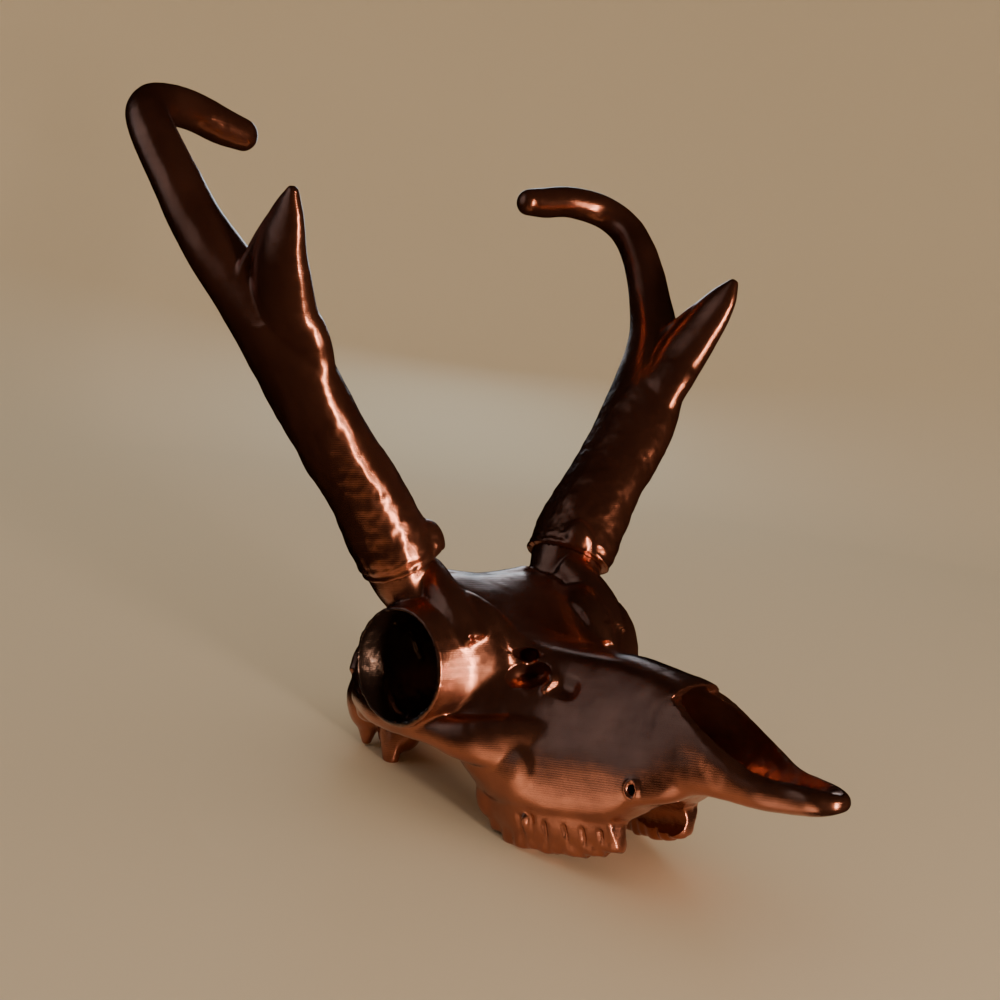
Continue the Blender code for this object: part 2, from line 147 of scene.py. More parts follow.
class Clay:
    """Closed forms that overlap, kept in one bmesh until they are fused into one skin."""

    def __init__(self) -> None:
        """Start with nothing."""
        self.bm = bmesh.new()

    def ring(self, place: Matrix, count: int) -> list[bmesh.types.BMVert]:
        """One closed ring of points.

        Args:
            place: Where a circle of radius one goes, and how it is stretched.
            count: How many points it has.

        Returns:
            The points, in order round the ring.
        """
        made = bmesh.ops.create_circle(
            self.bm, cap_ends=False, segments=count, radius=1.0, matrix=place
        )
        return made["verts"]

    def skin(self, rings: list[list[bmesh.types.BMVert]]) -> None:
        """Bridge a run of rings and close its two ends.

        Args:
            rings: The rings, all with the same count of points.
        """
        loops = [list({e for v in ring for e in v.link_edges}) for ring in rings]
        for one, two in zip(loops, loops[1:]):
            bmesh.ops.bridge_loops(self.bm, edges=one + two)
        bmesh.ops.edgeloop_fill(self.bm, edges=loops[0])
        bmesh.ops.edgeloop_fill(self.bm, edges=loops[-1])

    def course(
        self, table: list[Row], side: int, spans: int
    ) -> list[tuple[Vector, Vector, Vector]]:
        """The steps along a table of rows.

        Args:
            table: Rows that start with x, y and z.
            side: 1 for the animal's left, -1 for its right.
            spans: Steps between two rows.

        Returns:
            For each step its row, its middle and the direction of the line there.
        """
        rows = through(table, spans)
        centres = [Vector(sided(row, side)) for row in rows]
        steps = []
        for i, row in enumerate(rows):
            along = centres[min(i + 1, len(rows) - 1)] - centres[max(i - 1, 0)]
            steps.append((row, centres[i], along.normalized()))
        return steps

    def bar(
        self, table: list[Row], side: int = 1, spans: int = 4, count: int = 32
    ) -> None:
        """An oval bar that can turn about its own line, such as a horn.

        Args:
            table: Rows of x, y, z, half depth, half width and turn outward in degrees.
            side: 1 for the animal's left, -1 for its right.
            spans: Steps between two rows.
            count: Points in each ring.
        """
        rings = []
        for row, centre, along in self.course(table, side, spans):
            turn = math.radians(row[5])
            ahead = Vector((math.sin(turn) * side, -math.cos(turn), 0))
            ahead = (ahead - along * ahead.dot(along)).normalized()
            rings.append(self.ring(self.oval(centre, ahead, along, row[3], row[4]), count))
        self.skin(rings)

    def rod(
        self, table: list[Row], side: int = 1, spans: int = 3, count: int = 18
    ) -> None:
        """A round bar along a line.

        Args:
            table: Rows of x, y, z, radius up and down and radius across.
            side: 1 for the animal's left, -1 for its right.
            spans: Steps between two rows.
            count: Points in each ring.
        """
        rings = []
        for row, centre, along in self.course(table, side, spans):
            up = Vector((0, 0, 1)) if abs(along.z) < STEEP else Vector((0, 1, 0))
            up = (up - along * up.dot(along)).normalized()
            rings.append(self.ring(self.oval(centre, up, along, row[3], row[4]), count))
        self.skin(rings)

    def oval(
        self, centre: Vector, first: Vector, along: Vector, one: float, two: float
    ) -> Matrix:
        """Where an oval ring goes.

        Args:
            centre: Its middle.
            first: The direction of its first radius.
            along: The direction that the ring faces.
            one: The first radius.
            two: The radius square to it.

        Returns:
            The matrix that takes a flat unit circle there.
        """
        second = along.cross(first)
        turn = Matrix((first * one, second * two, along)).transposed().to_4x4()
        return Matrix.Translation(centre) @ turn

    def stack(self, table: list[Row], side: int, turn: float, count: int = 40) -> None:
        """Ovals stacked out to the side of the head.

        Args:
            table: Rows of centre x, y, z, radius fore and aft and radius up and down.
            side: 1 for the animal's left, -1 for its right.
            turn: How far the ovals turn to face forward, in radians.
            count: Points in each ring.
        """
        ahead = Vector((math.sin(turn) * side, math.cos(turn), 0))
        outward = Vector((math.cos(turn) * side, -math.sin(turn), 0))
        rings = []
        for row in through(table, 3):
            place = self.oval(Vector(sided(row, side)), ahead, outward, row[3], row[4])
            rings.append(self.ring(place, count))
        self.skin(rings)

    def ball(self, centre: Row, radii: Row, side: int = 1, turn: float = 0.0) -> None:
        """An egg shape.

        Args:
            centre: Its middle.
            radii: Its three radii.
            side: 1 for the animal's left, -1 for its right.
            turn: How far it is tipped about x, in radians.
        """
        place = Matrix.Translation(sided(centre, side)) @ Matrix.Rotation(turn, 4, "X")
        place = place @ Matrix.Diagonal((*radii, 1))
        bmesh.ops.create_uvsphere(
            self.bm, u_segments=28, v_segments=16, radius=1.0, matrix=place
        )

    def block(self, low: Row, high: Row) -> None:
        """A box between two corners.

        Args:
            low: Its lowest corner.
            high: Its highest corner.
        """
        middle = (Vector(low) + Vector(high)) / 2
        size = Vector(high) - Vector(low)
        place = Matrix.Translation(middle) @ Matrix.Diagonal((*size, 1))
        bmesh.ops.create_cube(self.bm, size=1.0, matrix=place)

    def drum(self, base: Vector, axis: Vector, low: float, high: float, radius: float) -> None:
        """A plain round block along an axis.

        Args:
            base: A point of the axis.
            axis: Its direction.
            low: Where the block starts along the axis.
            high: Where it ends.
            radius: Its radius.
        """
        turn = axis.to_track_quat("Z", "Y").to_matrix().to_4x4()
        place = Matrix.Translation(base + axis * (low + high) / 2) @ turn
        bmesh.ops.create_cone(
            self.bm, cap_ends=True, segments=64, radius1=radius, radius2=radius,
            depth=high - low, matrix=place,
        )


@dataclass(frozen=True)
class Stroke:
    """A ridge or a groove that follows a line on the surface."""

    line: tuple[Row, ...]
    width: float
    height: float
    lean: Lean = Lean.RAISE
    waver: float = 0.0

    def moved(self, points: np.ndarray, side: int) -> np.ndarray:
        """How far each point goes along its normal.

        Args:
            points: The points of the piece.
            side: 1 for the animal's left, -1 for its right.

        Returns:
            One distance for each point.
        """
        line = np.array([sided(p, side) for p in through(list(self.line), 4)])
        low = line.min(0) - self.width - self.waver
        high = line.max(0) + self.width + self.waver
        near = np.flatnonzero(((points > low) & (points < high)).all(1))
        moved = np.zeros(len(points))
        if not len(near):
            return moved
        some = points[near]
        if self.waver:
            some = some + self.waver * np.array(
                [noise.noise_vector(Vector(p) * WAVER_PITCH) for p in some]
            )
        best = np.full(len(near), 1e9)
        for a, b in zip(line, line[1:]):
            span = b - a
            t = np.clip((some - a) @ span / max(span @ span, 1e-9), 0, 1)
            away = np.linalg.norm(some - (a + t[:, None] * span), axis=1)
            best = np.minimum(best, away)
        share = np.clip(1 - best / self.width, 0, 1)
        fall = share * share * (3 - 2 * share)
        moved[near] = self.lean.value * self.height * fall
        return moved


@dataclass(frozen=True)
class Grain:
    """Lumps of the cast surface, from noise that may be drawn out in one direction."""

    height: float
    size: float
    stretch: Row = (1.0, 1.0, 1.0)
    octaves: int = 3
    seed: float = 0.0

    def moved(self, points: np.ndarray) -> np.ndarray:
        """How far each point goes along its normal.

        Args:
            points: The points of the piece.

        Returns:
            One distance for each point.
        """
        scaled = points / (self.size * np.array(self.stretch)) + self.seed
        values = [
            noise.fractal(Vector(p), NOISE_FALL, NOISE_STEP, self.octaves) for p in scaled
        ]
        return self.height * np.array(values)


class Bench:
    """Where forms become objects and are fused, cut and carved, in millimetres."""

    def __init__(self, lay: Lay) -> None:
        """Keep the lay that finished pieces are carried to."""
        self.lay = lay

    def item(self, name: str, clay: Clay) -> bpy.types.Object:
        """An object from clay, with its faces turned outward.

        Args:
            name: The object's name.
            clay: Its forms, which are used up.

        Returns:
            The object.
        """
        bmesh.ops.recalc_face_normals(clay.bm, faces=clay.bm.faces)
        mesh = bpy.data.meshes.new(name)
        clay.bm.to_mesh(mesh)
        clay.bm.free()
        made = bpy.data.objects.new(name, mesh)
        bpy.context.scene.collection.objects.link(made)
        return made

    def settle(self, item: bpy.types.Object) -> None:
        """Work out an object's modifiers and keep the result as its mesh.

        Args:
            item: The object.
        """
        bpy.context.view_layer.update()
        graph = bpy.context.evaluated_depsgraph_get()
        mesh = bpy.data.meshes.new_from_object(item.evaluated_get(graph))
        old = item.data
        item.modifiers.clear()
        item.data = mesh
        bpy.data.meshes.remove(old)

    def fuse(self, item: bpy.types.Object, voxel: float, rounds: int) -> None:
        """Fuse overlapping forms into one skin and ease the joins.

        Args:
            item: The object.
            voxel: The size of the grid.
            rounds: How often the skin is eased.
        """
        skin = item.modifiers.new("fuse", "REMESH")
        skin.mode = "VOXEL"
        skin.voxel_size = voxel
        if rounds:
            ease = item.modifiers.new("ease", "SMOOTH")
            ease.factor = 0.5
            ease.iterations = rounds
        self.settle(item)

    def cut(self, item: bpy.types.Object, cutter: bpy.types.Object) -> None:
        """Cut one mesh from another, and take the cutter away.

        Args:
            item: The object that is cut.
            cutter: What is cut from it.
        """
        for solver in (Solver.FAST, Solver.EXACT):
            knife = item.modifiers.new("cut", "BOOLEAN")
            knife.operation = "DIFFERENCE"
            knife.solver = solver.value
            knife.object = cutter
            bpy.context.view_layer.update()
            graph = bpy.context.evaluated_depsgraph_get()
            left = len(item.evaluated_get(graph).data.polygons)
            if left and left != len(item.data.polygons):
                break
            item.modifiers.clear()
        self.settle(item)
        bpy.data.objects.remove(cutter, do_unlink=True)

    def shift(self, item: bpy.types.Object, moves: list[np.ndarray]) -> None:
        """Move each point along its normal.

        Args:
            item: The object.
            moves: Arrays of distances, which are added up.
        """
        mesh = item.data
        points = self.points(item)
        normals = np.empty(len(points) * 3)
        mesh.vertex_normals.foreach_get("vector", normals)
        points = points + normals.reshape(-1, 3) * sum(moves)[:, None]
        mesh.vertices.foreach_set("co", points.ravel())
        mesh.update()

    def points(self, item: bpy.types.Object) -> np.ndarray:
        """The points of an object.

        Args:
            item: The object.

        Returns:
            One row of x, y and z for each point.
        """
        found = np.empty(len(item.data.vertices) * 3)
        item.data.vertices.foreach_get("co", found)
        return found.reshape(-1, 3)

    def soften(self, item: bpy.types.Object, degrees: float, rounds: int) -> None:
        """Round the edges that a cut left sharp.

        Args:
            item: The object.
            degrees: Edges that turn more than this are eased.
            rounds: How often they are eased.
        """
        bm = bmesh.new()
        bm.from_mesh(item.data)
        bmesh.ops.triangulate(bm, faces=bm.faces)
        bmesh.ops.remove_doubles(bm, verts=bm.verts, dist=MERGE_DISTANCE)
        bmesh.ops.dissolve_degenerate(bm, edges=bm.edges, dist=SLIVER_LENGTH)
        limit = math.radians(degrees)
        for _ in range(rounds):
            sharp = {
                v for e in bm.edges if e.is_manifold and e.calc_face_angle(0) > limit
                for v in e.verts
            }
            bmesh.ops.smooth_vert(
                bm, verts=list(sharp), factor=0.5,
                use_axis_x=True, use_axis_y=True, use_axis_z=True,
            )
        bmesh.ops.triangulate(bm, faces=bm.faces)
        bm.to_mesh(item.data)
        bm.free()

    def ground(self) -> bpy.types.Object:
        """The room under the plane that the skull rests on.

        Returns:
            A cutter for it.
        """
        clay = Clay()
        clay.block((-200, -300, -60), (200, 300, 0))
        bmesh.ops.transform(
            clay.bm, matrix=self.lay.in_millimetres().inverted(), verts=clay.bm.verts
        )
        return self.item("ground_room", clay)

    def thin(self, item: bpy.types.Object, triangles: int) -> None:
        """Fewer triangles where the surface is plain, down to a count.

        Args:
            item: The object.
            triangles: The count.
        """
        item.data.calc_loop_triangles()
        ratio = triangles / len(item.data.loop_triangles)
        if ratio < 1:
            made = item.modifiers.new("thin", "DECIMATE")
            made.ratio = ratio
            made.use_collapse_triangulate = True
            self.settle(item)

    def deliver(
        self, item: bpy.types.Object, material: bpy.types.Material, node: str, slot: str
    ) -> None:
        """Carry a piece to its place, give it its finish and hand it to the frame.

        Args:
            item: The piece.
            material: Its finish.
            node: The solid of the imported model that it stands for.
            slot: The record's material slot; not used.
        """
        item.data.transform(self.lay.matrix())
        item.data.materials.clear()
        item.data.materials.append(material)
        item.data.shade_smooth()
        item.data.set_sharp_from_angle(angle=math.radians(SHARP_DEGREES))
        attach(item, "root")
        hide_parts(node)
        item.data.calc_loop_triangles()
        log.info("%s: %d triangles", item.name, len(item.data.loop_triangles))


@dataclass
class Face:
    """The face, the snout and the braincase: one tapering body of cross sections."""

    sections: list[tuple[float, list[Row]]] = field(default_factory=lambda: [
        (-155, [(0, 32), (1.4, 31.8), (2.2, 31), (2.4, 30), (2, 29), (1, 28.3), (0, 28.2)]),
        (-153, [(0, 33.6), (3.4, 33), (5.4, 31.4), (5.8, 29.5), (5, 27.6), (2.5, 26.8), (0, 26.8)]),
        (-147, [(0, 35), (6, 34.5), (9, 33), (10, 30), (9, 27), (5, 25), (0, 25)]),
        (-138, [(0, 36), (7, 36), (10, 35), (11.5, 31), (11, 27), (7, 24.5), (0, 25)]),
        (-126, [(0, 38), (10, 38), (14, 36.5), (15.5, 32), (14, 27), (9, 24.5), (0, 26)]),
        (-112, [(0, 45.5), (12, 46), (17, 44), (18, 37), (16.5, 29), (12, 26.5), (0, 28)]),
        (-98, [(0, 57), (12, 57), (17, 54), (19.5, 43), (20.5, 33), (15, 26.5), (0, 28)]),
        (-90, [(0, 66.5), (9, 65.5), (15.5, 60), (20.5, 46), (23, 32), (19, 23), (0, 25)]),
        (-77, [(0, 70.5), (9, 68.5), (15.5, 60.5), (22, 45), (27, 31), (25, 20.5), (0, 20)]),
        (-68, [(0, 72.5), (9.5, 70.5), (15.5, 62.5), (22.5, 47), (28, 32), (26.5, 15), (0, 14)]),
        (-55, [(0, 75), (10, 73), (16, 65), (24, 50), (30.5, 33), (29.2, 12), (0, 11)]),
        (-34, [(0, 76.5), (12, 75), (19, 67), (28, 52), (35.5, 35), (34, 12), (0, 11)]),
        (-14, [(0, 79), (18, 79), (28, 71), (37, 55), (42, 38), (37, 14), (0, 14)]),
        (4, [(0, 89), (24, 89), (40, 80), (46, 60), (48, 40), (36, 20), (0, 22)]),
        (20, [(0, 100), (30, 100), (46, 90), (46, 66), (44, 46), (30, 30), (0, 32)]),
        (38, [(0, 108), (32, 108), (46, 98), (40, 72), (34, 50), (24, 34), (0, 34)]),
        (58, [(0, 107), (24, 104), (34, 92), (34, 66), (30, 46), (22, 32), (0, 30)]),
        (78, [(0, 99), (20, 96), (34, 82), (39, 60), (36, 42), (24, 29), (0, 27)]),
        (96, [(0, 88), (18, 85), (34, 72), (41, 54), (37, 40), (22, 29), (0, 27)]),
        (108, [(0, 78), (14, 75), (28, 65), (33, 50), (28, 38), (16, 30), (0, 29)]),
        (113, [(0, 68), (8, 66), (16, 60), (19, 50), (16, 40), (9, 33), (0, 32)]),
    ])
    spans: int = 5

    def form(self, clay: Clay) -> None:
        """Skin the sections.

        Args:
            clay: Takes the body.
        """
        flat = [(y, *[v for pair in half for v in pair]) for y, half in self.sections]
        count = len(self.sections[0][1])
        rings = []
        for row in through(flat, self.spans):
            half = [(row[1 + 2 * k], row[0], row[2 + 2 * k]) for k in range(count)]
            line = through(half, self.spans)
            line += [Vector((-p.x, p.y, p.z)) for p in reversed(line[1:-1])]
            ring = clay.ring(Matrix.Identity(4), len(line))
            for vert, point in zip(ring, line):
                vert.co = point
            rings.append(ring)
        clay.skin(rings)


@dataclass
class EyeSocket:
    """The orbit: a short cone that stands out from the face, ends in a thin lip and is cupped."""

    turn: float = math.radians(10)
    cone: list[Row] = field(default_factory=lambda: [
        (26, 18, 72, 30, 24),
        (36, 20.8, 72, 34.2, 31),
        (41, 22.3, 71.5, 31.6, 31.2),
        (46, 23.3, 71, 29.6, 30.5),
        (50, 24.0, 70.8, 28.3, 29.2),
        (54, 24.3, 70.5, 27.2, 27.8),
        (60, 25.3, 70, 26.5, 26.2),
        (63.5, 25.5, 70, 26.2, 25.8),
    ])
    brow: list[Row] = field(default_factory=lambda: [
        (43, 32, 110, 9, 8), (44, 19, 101, 9, 8), (43.5, 7, 91, 8, 8), (41, -2, 80, 6, 7),
    ])
    cup: list[Row] = field(default_factory=lambda: [
        (20, 25, 66, 9, 8),
        (30, 25, 68, 17, 16),
        (44, 25.3, 70, 22.4, 22.0),
        (58, 25.5, 70, 24.4, 24.1),
        (72, 25.5, 70, 25.0, 24.8),
    ])
    rim_middle: Row = (63.4, 25.5, 70)
    rim_radii: tuple[float, float] = (25.4, 25.2)
    rim_points: int = 24

    def form(self, clay: Clay, side: int) -> None:
        """Add the cone and the brow above it.

        Args:
            clay: Takes the forms.
            side: 1 for the animal's left, -1 for its right.
        """
        clay.stack(self.cone, side, self.turn)
        clay.rod(self.brow, side)
        clay.ball((36, 50, 103), (10, 12, 8), side)

    def hollow(self, clay: Clay, side: int) -> None:
        """Add the cup that is cut out."""
        clay.stack(self.cup, side, self.turn)

    def strokes(self) -> list[Stroke]:
        """The steps inside the cup and the ragged fold of its lower lip.

        Returns:
            The strokes of the left side.
        """
        wide, high = self.rim_radii
        x, y, z = self.rim_middle
        lip = []
        for k in range(self.rim_points + 1):
            angle = k * math.tau / self.rim_points
            ahead = wide * math.cos(angle)
            lip.append((
                x + ahead * math.sin(self.turn),
                y + ahead * math.cos(self.turn),
                z + high * math.sin(angle),
            ))
        return [
            Stroke(tuple(lip), 1.9, 0.55),
            Stroke(((52.7, 40.6, 86.6), (44.7, 41.2, 83), (37.3, 43.2, 71.1)), 2.2, 1.5, waver=0.5),
            Stroke(((60.7, 46.3, 80.1), (56, 48, 70), (52, 45, 58)), 6.5, 0.5, waver=1.0),
            Stroke(((42.3, 38.7, 54.7), (48, 34, 50.5), (54.5, 29.4, 47.5)), 1.9, 1.7, waver=0.6),
            Stroke(
                ((54.3, 41.9, 54.6), (55.1, 35.3, 49.6), (54.5, 29.4, 47.5)), 1.9, 1.4, waver=0.6,
            ),
            Stroke(((64, 27, 45), (62, 17, 46.5), (60.5, 8, 51.5)), 2.2, 1.1, waver=1.8),
        ]


@dataclass
class ToothRow:
    """Six cheek teeth, each of one or two rounded columns with a groove between them."""

    teeth: list[tuple[float, float, Row]] = field(default_factory=lambda: [
        (-60.5, 7.5, (-0.6,)),
        (-53, 8.0, (-3.0,)),
        (-44.5, 9.0, (-4.6,)),
        (-34.5, 11.0, (-4.4, -5.2)),
        (-22.5, 13.0, (-4.4, -5.0)),
        (-7.5, 17.0, (-4.6, -0.9)),
    ])
    outer: list[tuple[float, float]] = field(default_factory=lambda: [
        (-66, 25.0), (-48, 30.5), (-20, 36.5), (2, 35.5),
    ])
    overlap: float = 1.0
    wall: list[tuple[float, float]] = field(default_factory=lambda: [
        (2, 9), (-4, 3), (-10, 0.4), (-18, -1.4), (-28, -2.2), (-38, -2.8), (-48, -1.8), (-57, 0.4),
        (-63, 2.4),
    ])
    grooves: list[float] = field(default_factory=lambda: [-60.6, -53.0, -45.0, -35.4])
    fin: tuple[Row, ...] = ((36.6, -26, 10), (36.2, -26, 4), (35.4, -26, -3))
    wall_top: float = 30.0
    wall_inset: float = 5.4
    wall_half: float = 6.5

    def outer_face(self, y: float) -> float:
        """The x of the row's outer face at a y."""
        return float(np.interp(y, [p[0] for p in self.outer], [p[1] for p in self.outer]))

    def columns(self) -> list[tuple[float, float, float]]:
        """The columns of the row.

        Returns:
            The y of its middle, half its length and its lowest z, for each column.
        """
        found = []
        for middle, length, reach in self.teeth:
            for lobe, low in enumerate(reach):
                y = middle + length * ((lobe + 0.5) / len(reach) - 0.5)
                found.append((y, length / len(reach) / 2, low))
        return found

    def form(self, clay: Clay, side: int) -> None:
        """Add the flush wall of the row and the columns under it.

        Args:
            clay: Takes the forms.
            side: 1 for the animal's left, -1 for its right.
        """
        wall = []
        for y, low in self.wall:
            x = self.outer_face(y) - self.wall_inset
            wall.append((
                x, y, (self.wall_top + low) / 2, (self.wall_top - low) / 2, self.wall_half,
            ))
        clay.rod(wall, side)
        for y, half, low in self.columns():
            outer = self.outer_face(y)
            deep = half * 1.25 + self.overlap
            clay.rod([
                (outer - 7.5, y, 20, deep, 6.2),
                (outer - 7.3, y, low + 7, deep, 6.1),
                (outer - 6.8, y, low + 2.0, deep * 0.94, 5.8),
                (outer - 6.4, y, low, deep * 0.78, 4.8),
            ], side)

    def strokes(self) -> list[Stroke]:
        """The fin, the short grooves low between the columns, and the cusps' pits.

        Returns:
            The strokes of the left side.
        """
        made = [
            Stroke(self.fin, 2.0, 2.4),
            Stroke(tuple((x, y + 3.2, z) for x, y, z in self.fin), 2.4, 0.8, Lean.SINK),
            Stroke(tuple((x, y - 3.4, z) for x, y, z in self.fin), 2.8, 1.2, Lean.SINK),
        ]
        for y in self.grooves:
            outer = self.outer_face(y) + 0.3
            made.append(Stroke(
                ((outer, y, 8.5), (outer, y, 5), (outer, y, 0.5)), 1.8, 1.5, Lean.SINK, 0.5,
            ))
        for y, half, low in self.columns():
            middle = self.outer_face(y) - 6.2
            made.append(Stroke(
                ((middle, y - half * 0.6, low), (middle, y + half * 0.6, low)), 2.6, 1.2, Lean.SINK,
            ))
        return made


@dataclass
class CheekArch:
    """The arch under the orbit, from the cheek back to the side of the braincase."""

    line: list[Row] = field(default_factory=lambda: [
        (28, -34, 40, 9, 4), (38, -18, 39.5, 11, 5), (47.5, -2, 40, 9.5, 6), (54, 14, 43, 6.5, 4.5),
        (58, 34, 45.5, 6, 4), (57, 54, 48, 6, 3.5), (52, 68, 50, 6, 4), (43, 84, 52, 8, 6),
    ])

    def form(self, clay: Clay, side: int) -> None:
        """Add the arch and the swelling above the back molars.

        Args:
            clay: Takes the forms.
            side: 1 for the animal's left, -1 for its right.
        """
        clay.rod(self.line, side)
        clay.ball((33, 1, 16), (5.5, 6, 11), side)
        clay.ball((37, -4, 27), (6, 11, 9), side)
        clay.ball((36.4, -12, 29), (6.4, 21, 15), side)

    def hollow(self, clay: Clay, side: int) -> None:
        """Add the gap between the arch and the braincase."""
        clay.ball((48, 66, 74), (14, 15, 24), side)
        clay.ball((44, 60, 58), (8, 12, 14), side)


@dataclass
class BackOfSkull:
    """The crest, the condyles and the processes behind and under the braincase."""

    crest: list[Row] = field(default_factory=lambda: [
        (-37, 101, 60, 4, 3), (-30, 105, 70, 3.5, 3), (-16, 107.5, 78, 3.5, 3.5),
        (0, 108, 81, 4, 4),
        (16, 107.5, 78, 3.5, 3.5), (30, 105, 70, 3.5, 3), (37, 101, 60, 4, 3),
    ])

    def form(self, clay: Clay) -> None:
        """Add everything that stands out here.

        Args:
            clay: Takes the forms.
        """
        clay.rod(self.crest)
        for side in SIDES:
            clay.ball((40, 78, 44), (9, 9, 6), side)
            clay.ball((31, 97, 47), (11, 12, 16), side)
            clay.rod([(31, 96, 42, 9, 7), (31.5, 98, 33, 6, 4.6), (31, 100, 24.5, 2.6, 2.2)], side)
            clay.ball((24, 81, 31), (10, 12, 9), side)
            clay.rod(
                [(28, 80, 34, 9.5, 6), (30, 79.5, 26, 6.8, 4.6), (31, 79, 17, 3.8, 3.6)], side,
            )
            clay.ball((14, 109, 44), (9.5, 9, 12), side)
            clay.rod([(13, 2, 24, 10, 3), (14, 20, 27, 9, 2.6), (15, 40, 33, 8, 2.6)], side)

    def hollow(self, clay: Clay) -> None:
        """Add the opening for the spinal cord."""
        clay.rod([(0, 70, 52, 9, 9), (0, 98, 52, 9.5, 9.5), (0, 124, 52, 10, 10)], count=24)


@dataclass
class Snout:
    """The hollows of the nose and the palate, and the small openings of the face."""

    plane: Row = (-87.5, 62.0, 0.655)
    crack_line: list[Row] = field(default_factory=lambda: [
        (46.4, -4.4, 83.4), (44.6, -6.4, 81.3), (42.4, -7.9, 81.8), (40.5, -9.4, 79.8),
        (38.3, -10.8, 80.0), (36.2, -12.0, 77.8), (34.6, -12.4, 78.2), (31.5, -13.8, 76.0),
    ])
    nose: list[Row] = field(default_factory=lambda: [
        (0, -172, 40, 7, 5), (0, -150, 40, 7.5, 5.5), (0, -130, 40, 11, 10), (0, -112, 44, 14, 14),
        (0, -98, 48, 17, 15.5), (0, -84, 48, 17, 14), (0, -64, 50, 14, 11), (0, -50, 50, 6, 6),
    ])
    palate: list[Row] = field(default_factory=lambda: [
        (0, -92, 12, 8, 10), (0, -70, 8, 10, 17), (0, -40, 5, 11, 21), (0, -8, 6, 11, 22),
        (0, 10, 14, 11, 19), (0, 22, 20, 9, 10),
    ])
    ring_middle: Row = (26.9, -78.0, 27.6)
    ring_reach: Row = (0.75, 2.5, 3.4)
    ring_points: int = 8

    def hollow(self, clay: Clay) -> None:
        """Add the hollows of the nose and the palate, and the small openings.

        Args:
            clay: Takes the forms.
        """
        clay.rod(self.nose, count=28)
        clay.rod(self.palate, count=28)
        clay.rod([(0, 12, 22, 10, 8), (0, 24, 30, 12, 10), (0, 44, 18, 10, 11)], count=24)
        for side in SIDES:
            clay.rod(
                [(5.0, -110, 29, 6, 2.2), (4.8, -122, 29, 8, 2.4), (4.2, -136, 29, 8, 2)], side,
            )
            clay.rod([(12, -4, 73, 3, 3), (21, -12, 74.5, 3.0, 5), (31, -21, 77.5, 3.2, 7)], side)
            clay.ball((27.5, -19.5, 66.8), (11, 9.8, 6.0), side, math.radians(-12))
            clay.rod([
                (20, -69, 27.5, 2.0, 1.9), (27, -78.5, 27.5, 2.3, 1.9), (34, -88, 27.5, 3, 2.6),
            ], side)

    def crack(self, clay: Clay, side: int) -> None:
        """Add the ragged crack that runs from the brow to the small opening."""
        clay.rod([(*point, 0.8, 2.8) for point in self.crack_line], side, spans=1, count=12)

    def trim(self, clay: Clay) -> None:
        """Add the tipped block that trims the nose opening to one slanting plane.

        Args:
            clay: Takes the block.
        """
        y, z, slope = self.plane
        place = Matrix.Translation((0, y, z)) @ Matrix.Rotation(math.atan(slope), 4, "X")
        place = place @ Matrix.Translation((0, -22, 15)) @ Matrix.Diagonal((60, 44, 30, 1))
        bmesh.ops.create_cube(clay.bm, size=1.0, matrix=place)
        bmesh.ops.subdivide_edges(clay.bm, edges=clay.bm.edges, cuts=44, use_grid_fill=True)

    def strokes(self) -> list[Stroke]:
        """The crack, the curled rim and the dent at the small opening, and the ring ahead.

        Returns:
            The strokes of the left side.
        """
        x, y, z = self.ring_middle
        inward, ahead, high = self.ring_reach
        ring = []
        for k in range(self.ring_points + 1):
            angle = k * math.tau / self.ring_points
            ring.append((
                x - inward * math.cos(angle), y - ahead * math.cos(angle),
                z + high * math.sin(angle),
            ))
        return [
            Stroke(((34, -12, 77), (27, -15.5, 76), (20.6, -19.4, 74.7)), 1.8, 1.6, Lean.SINK, 0.6),
            Stroke(((22, -24, 68), (22.4, -29.4, 65), (25.7, -28, 61)), 2.4, 1.5, waver=0.3),
            Stroke(((21.7, -33.5, 63), (21.7, -38, 62.2)), 6.5, 2.0, Lean.SINK),
            Stroke(((33.5, -13, 70), (32.5, -17, 63), (30.5, -24, 60)), 1.8, 1.0, waver=0.8),
            Stroke(tuple(ring), 1.3, 1.0),
        ]


@dataclass
class HornSeat:
    """The bony peg under a sheath, and the plane where the sheath ends."""

    peg: list[Row] = field(default_factory=lambda: [
        (42.0, 34.0, 84.0, 19.0, 12.5, 14),
        (44.5, 37.5, 96.0, 17.0, 11.5, 14),
        (48.4, 40.5, 107.0, 18.6, 14.4, 14),
        (52.8, 41.4, 117.5, 20.0, 15.6, 14),
        (55.2, 41.4, 121.5, 20.2, 15.8, 14),
    ])
    base: Row = (50.5, 40.0, 114.5)
    axis: Row = (0.524, 0.0, 0.852)
    gap: float = 0.3
    room: tuple[float, float] = (30.0, 28.0)
    stub: tuple[float, float] = (30.0, 40.0)

    def form(self, clay: Clay, side: int) -> None:
        """Add the peg."""
        clay.bar(self.peg, side)

    def middle(self, side: int) -> Vector:
        """The point of the axis where the sheath ends."""
        return Vector(sided(self.base, side))

    def direction(self, side: int) -> Vector:
        """The way the horn leaves the skull."""
        return Vector(sided(self.axis, side)).normalized()

    def above(self, clay: Clay, side: int) -> None:
        """Add the room that the sheath takes."""
        reach, radius = self.room
        clay.drum(self.middle(side), self.direction(side), -self.gap / 2, reach, radius)

    def below(self, clay: Clay, side: int) -> None:
        """Add what lies under the sheath's end."""
        reach, radius = self.stub
        clay.drum(self.middle(side), self.direction(side), -reach, self.gap / 2, radius)


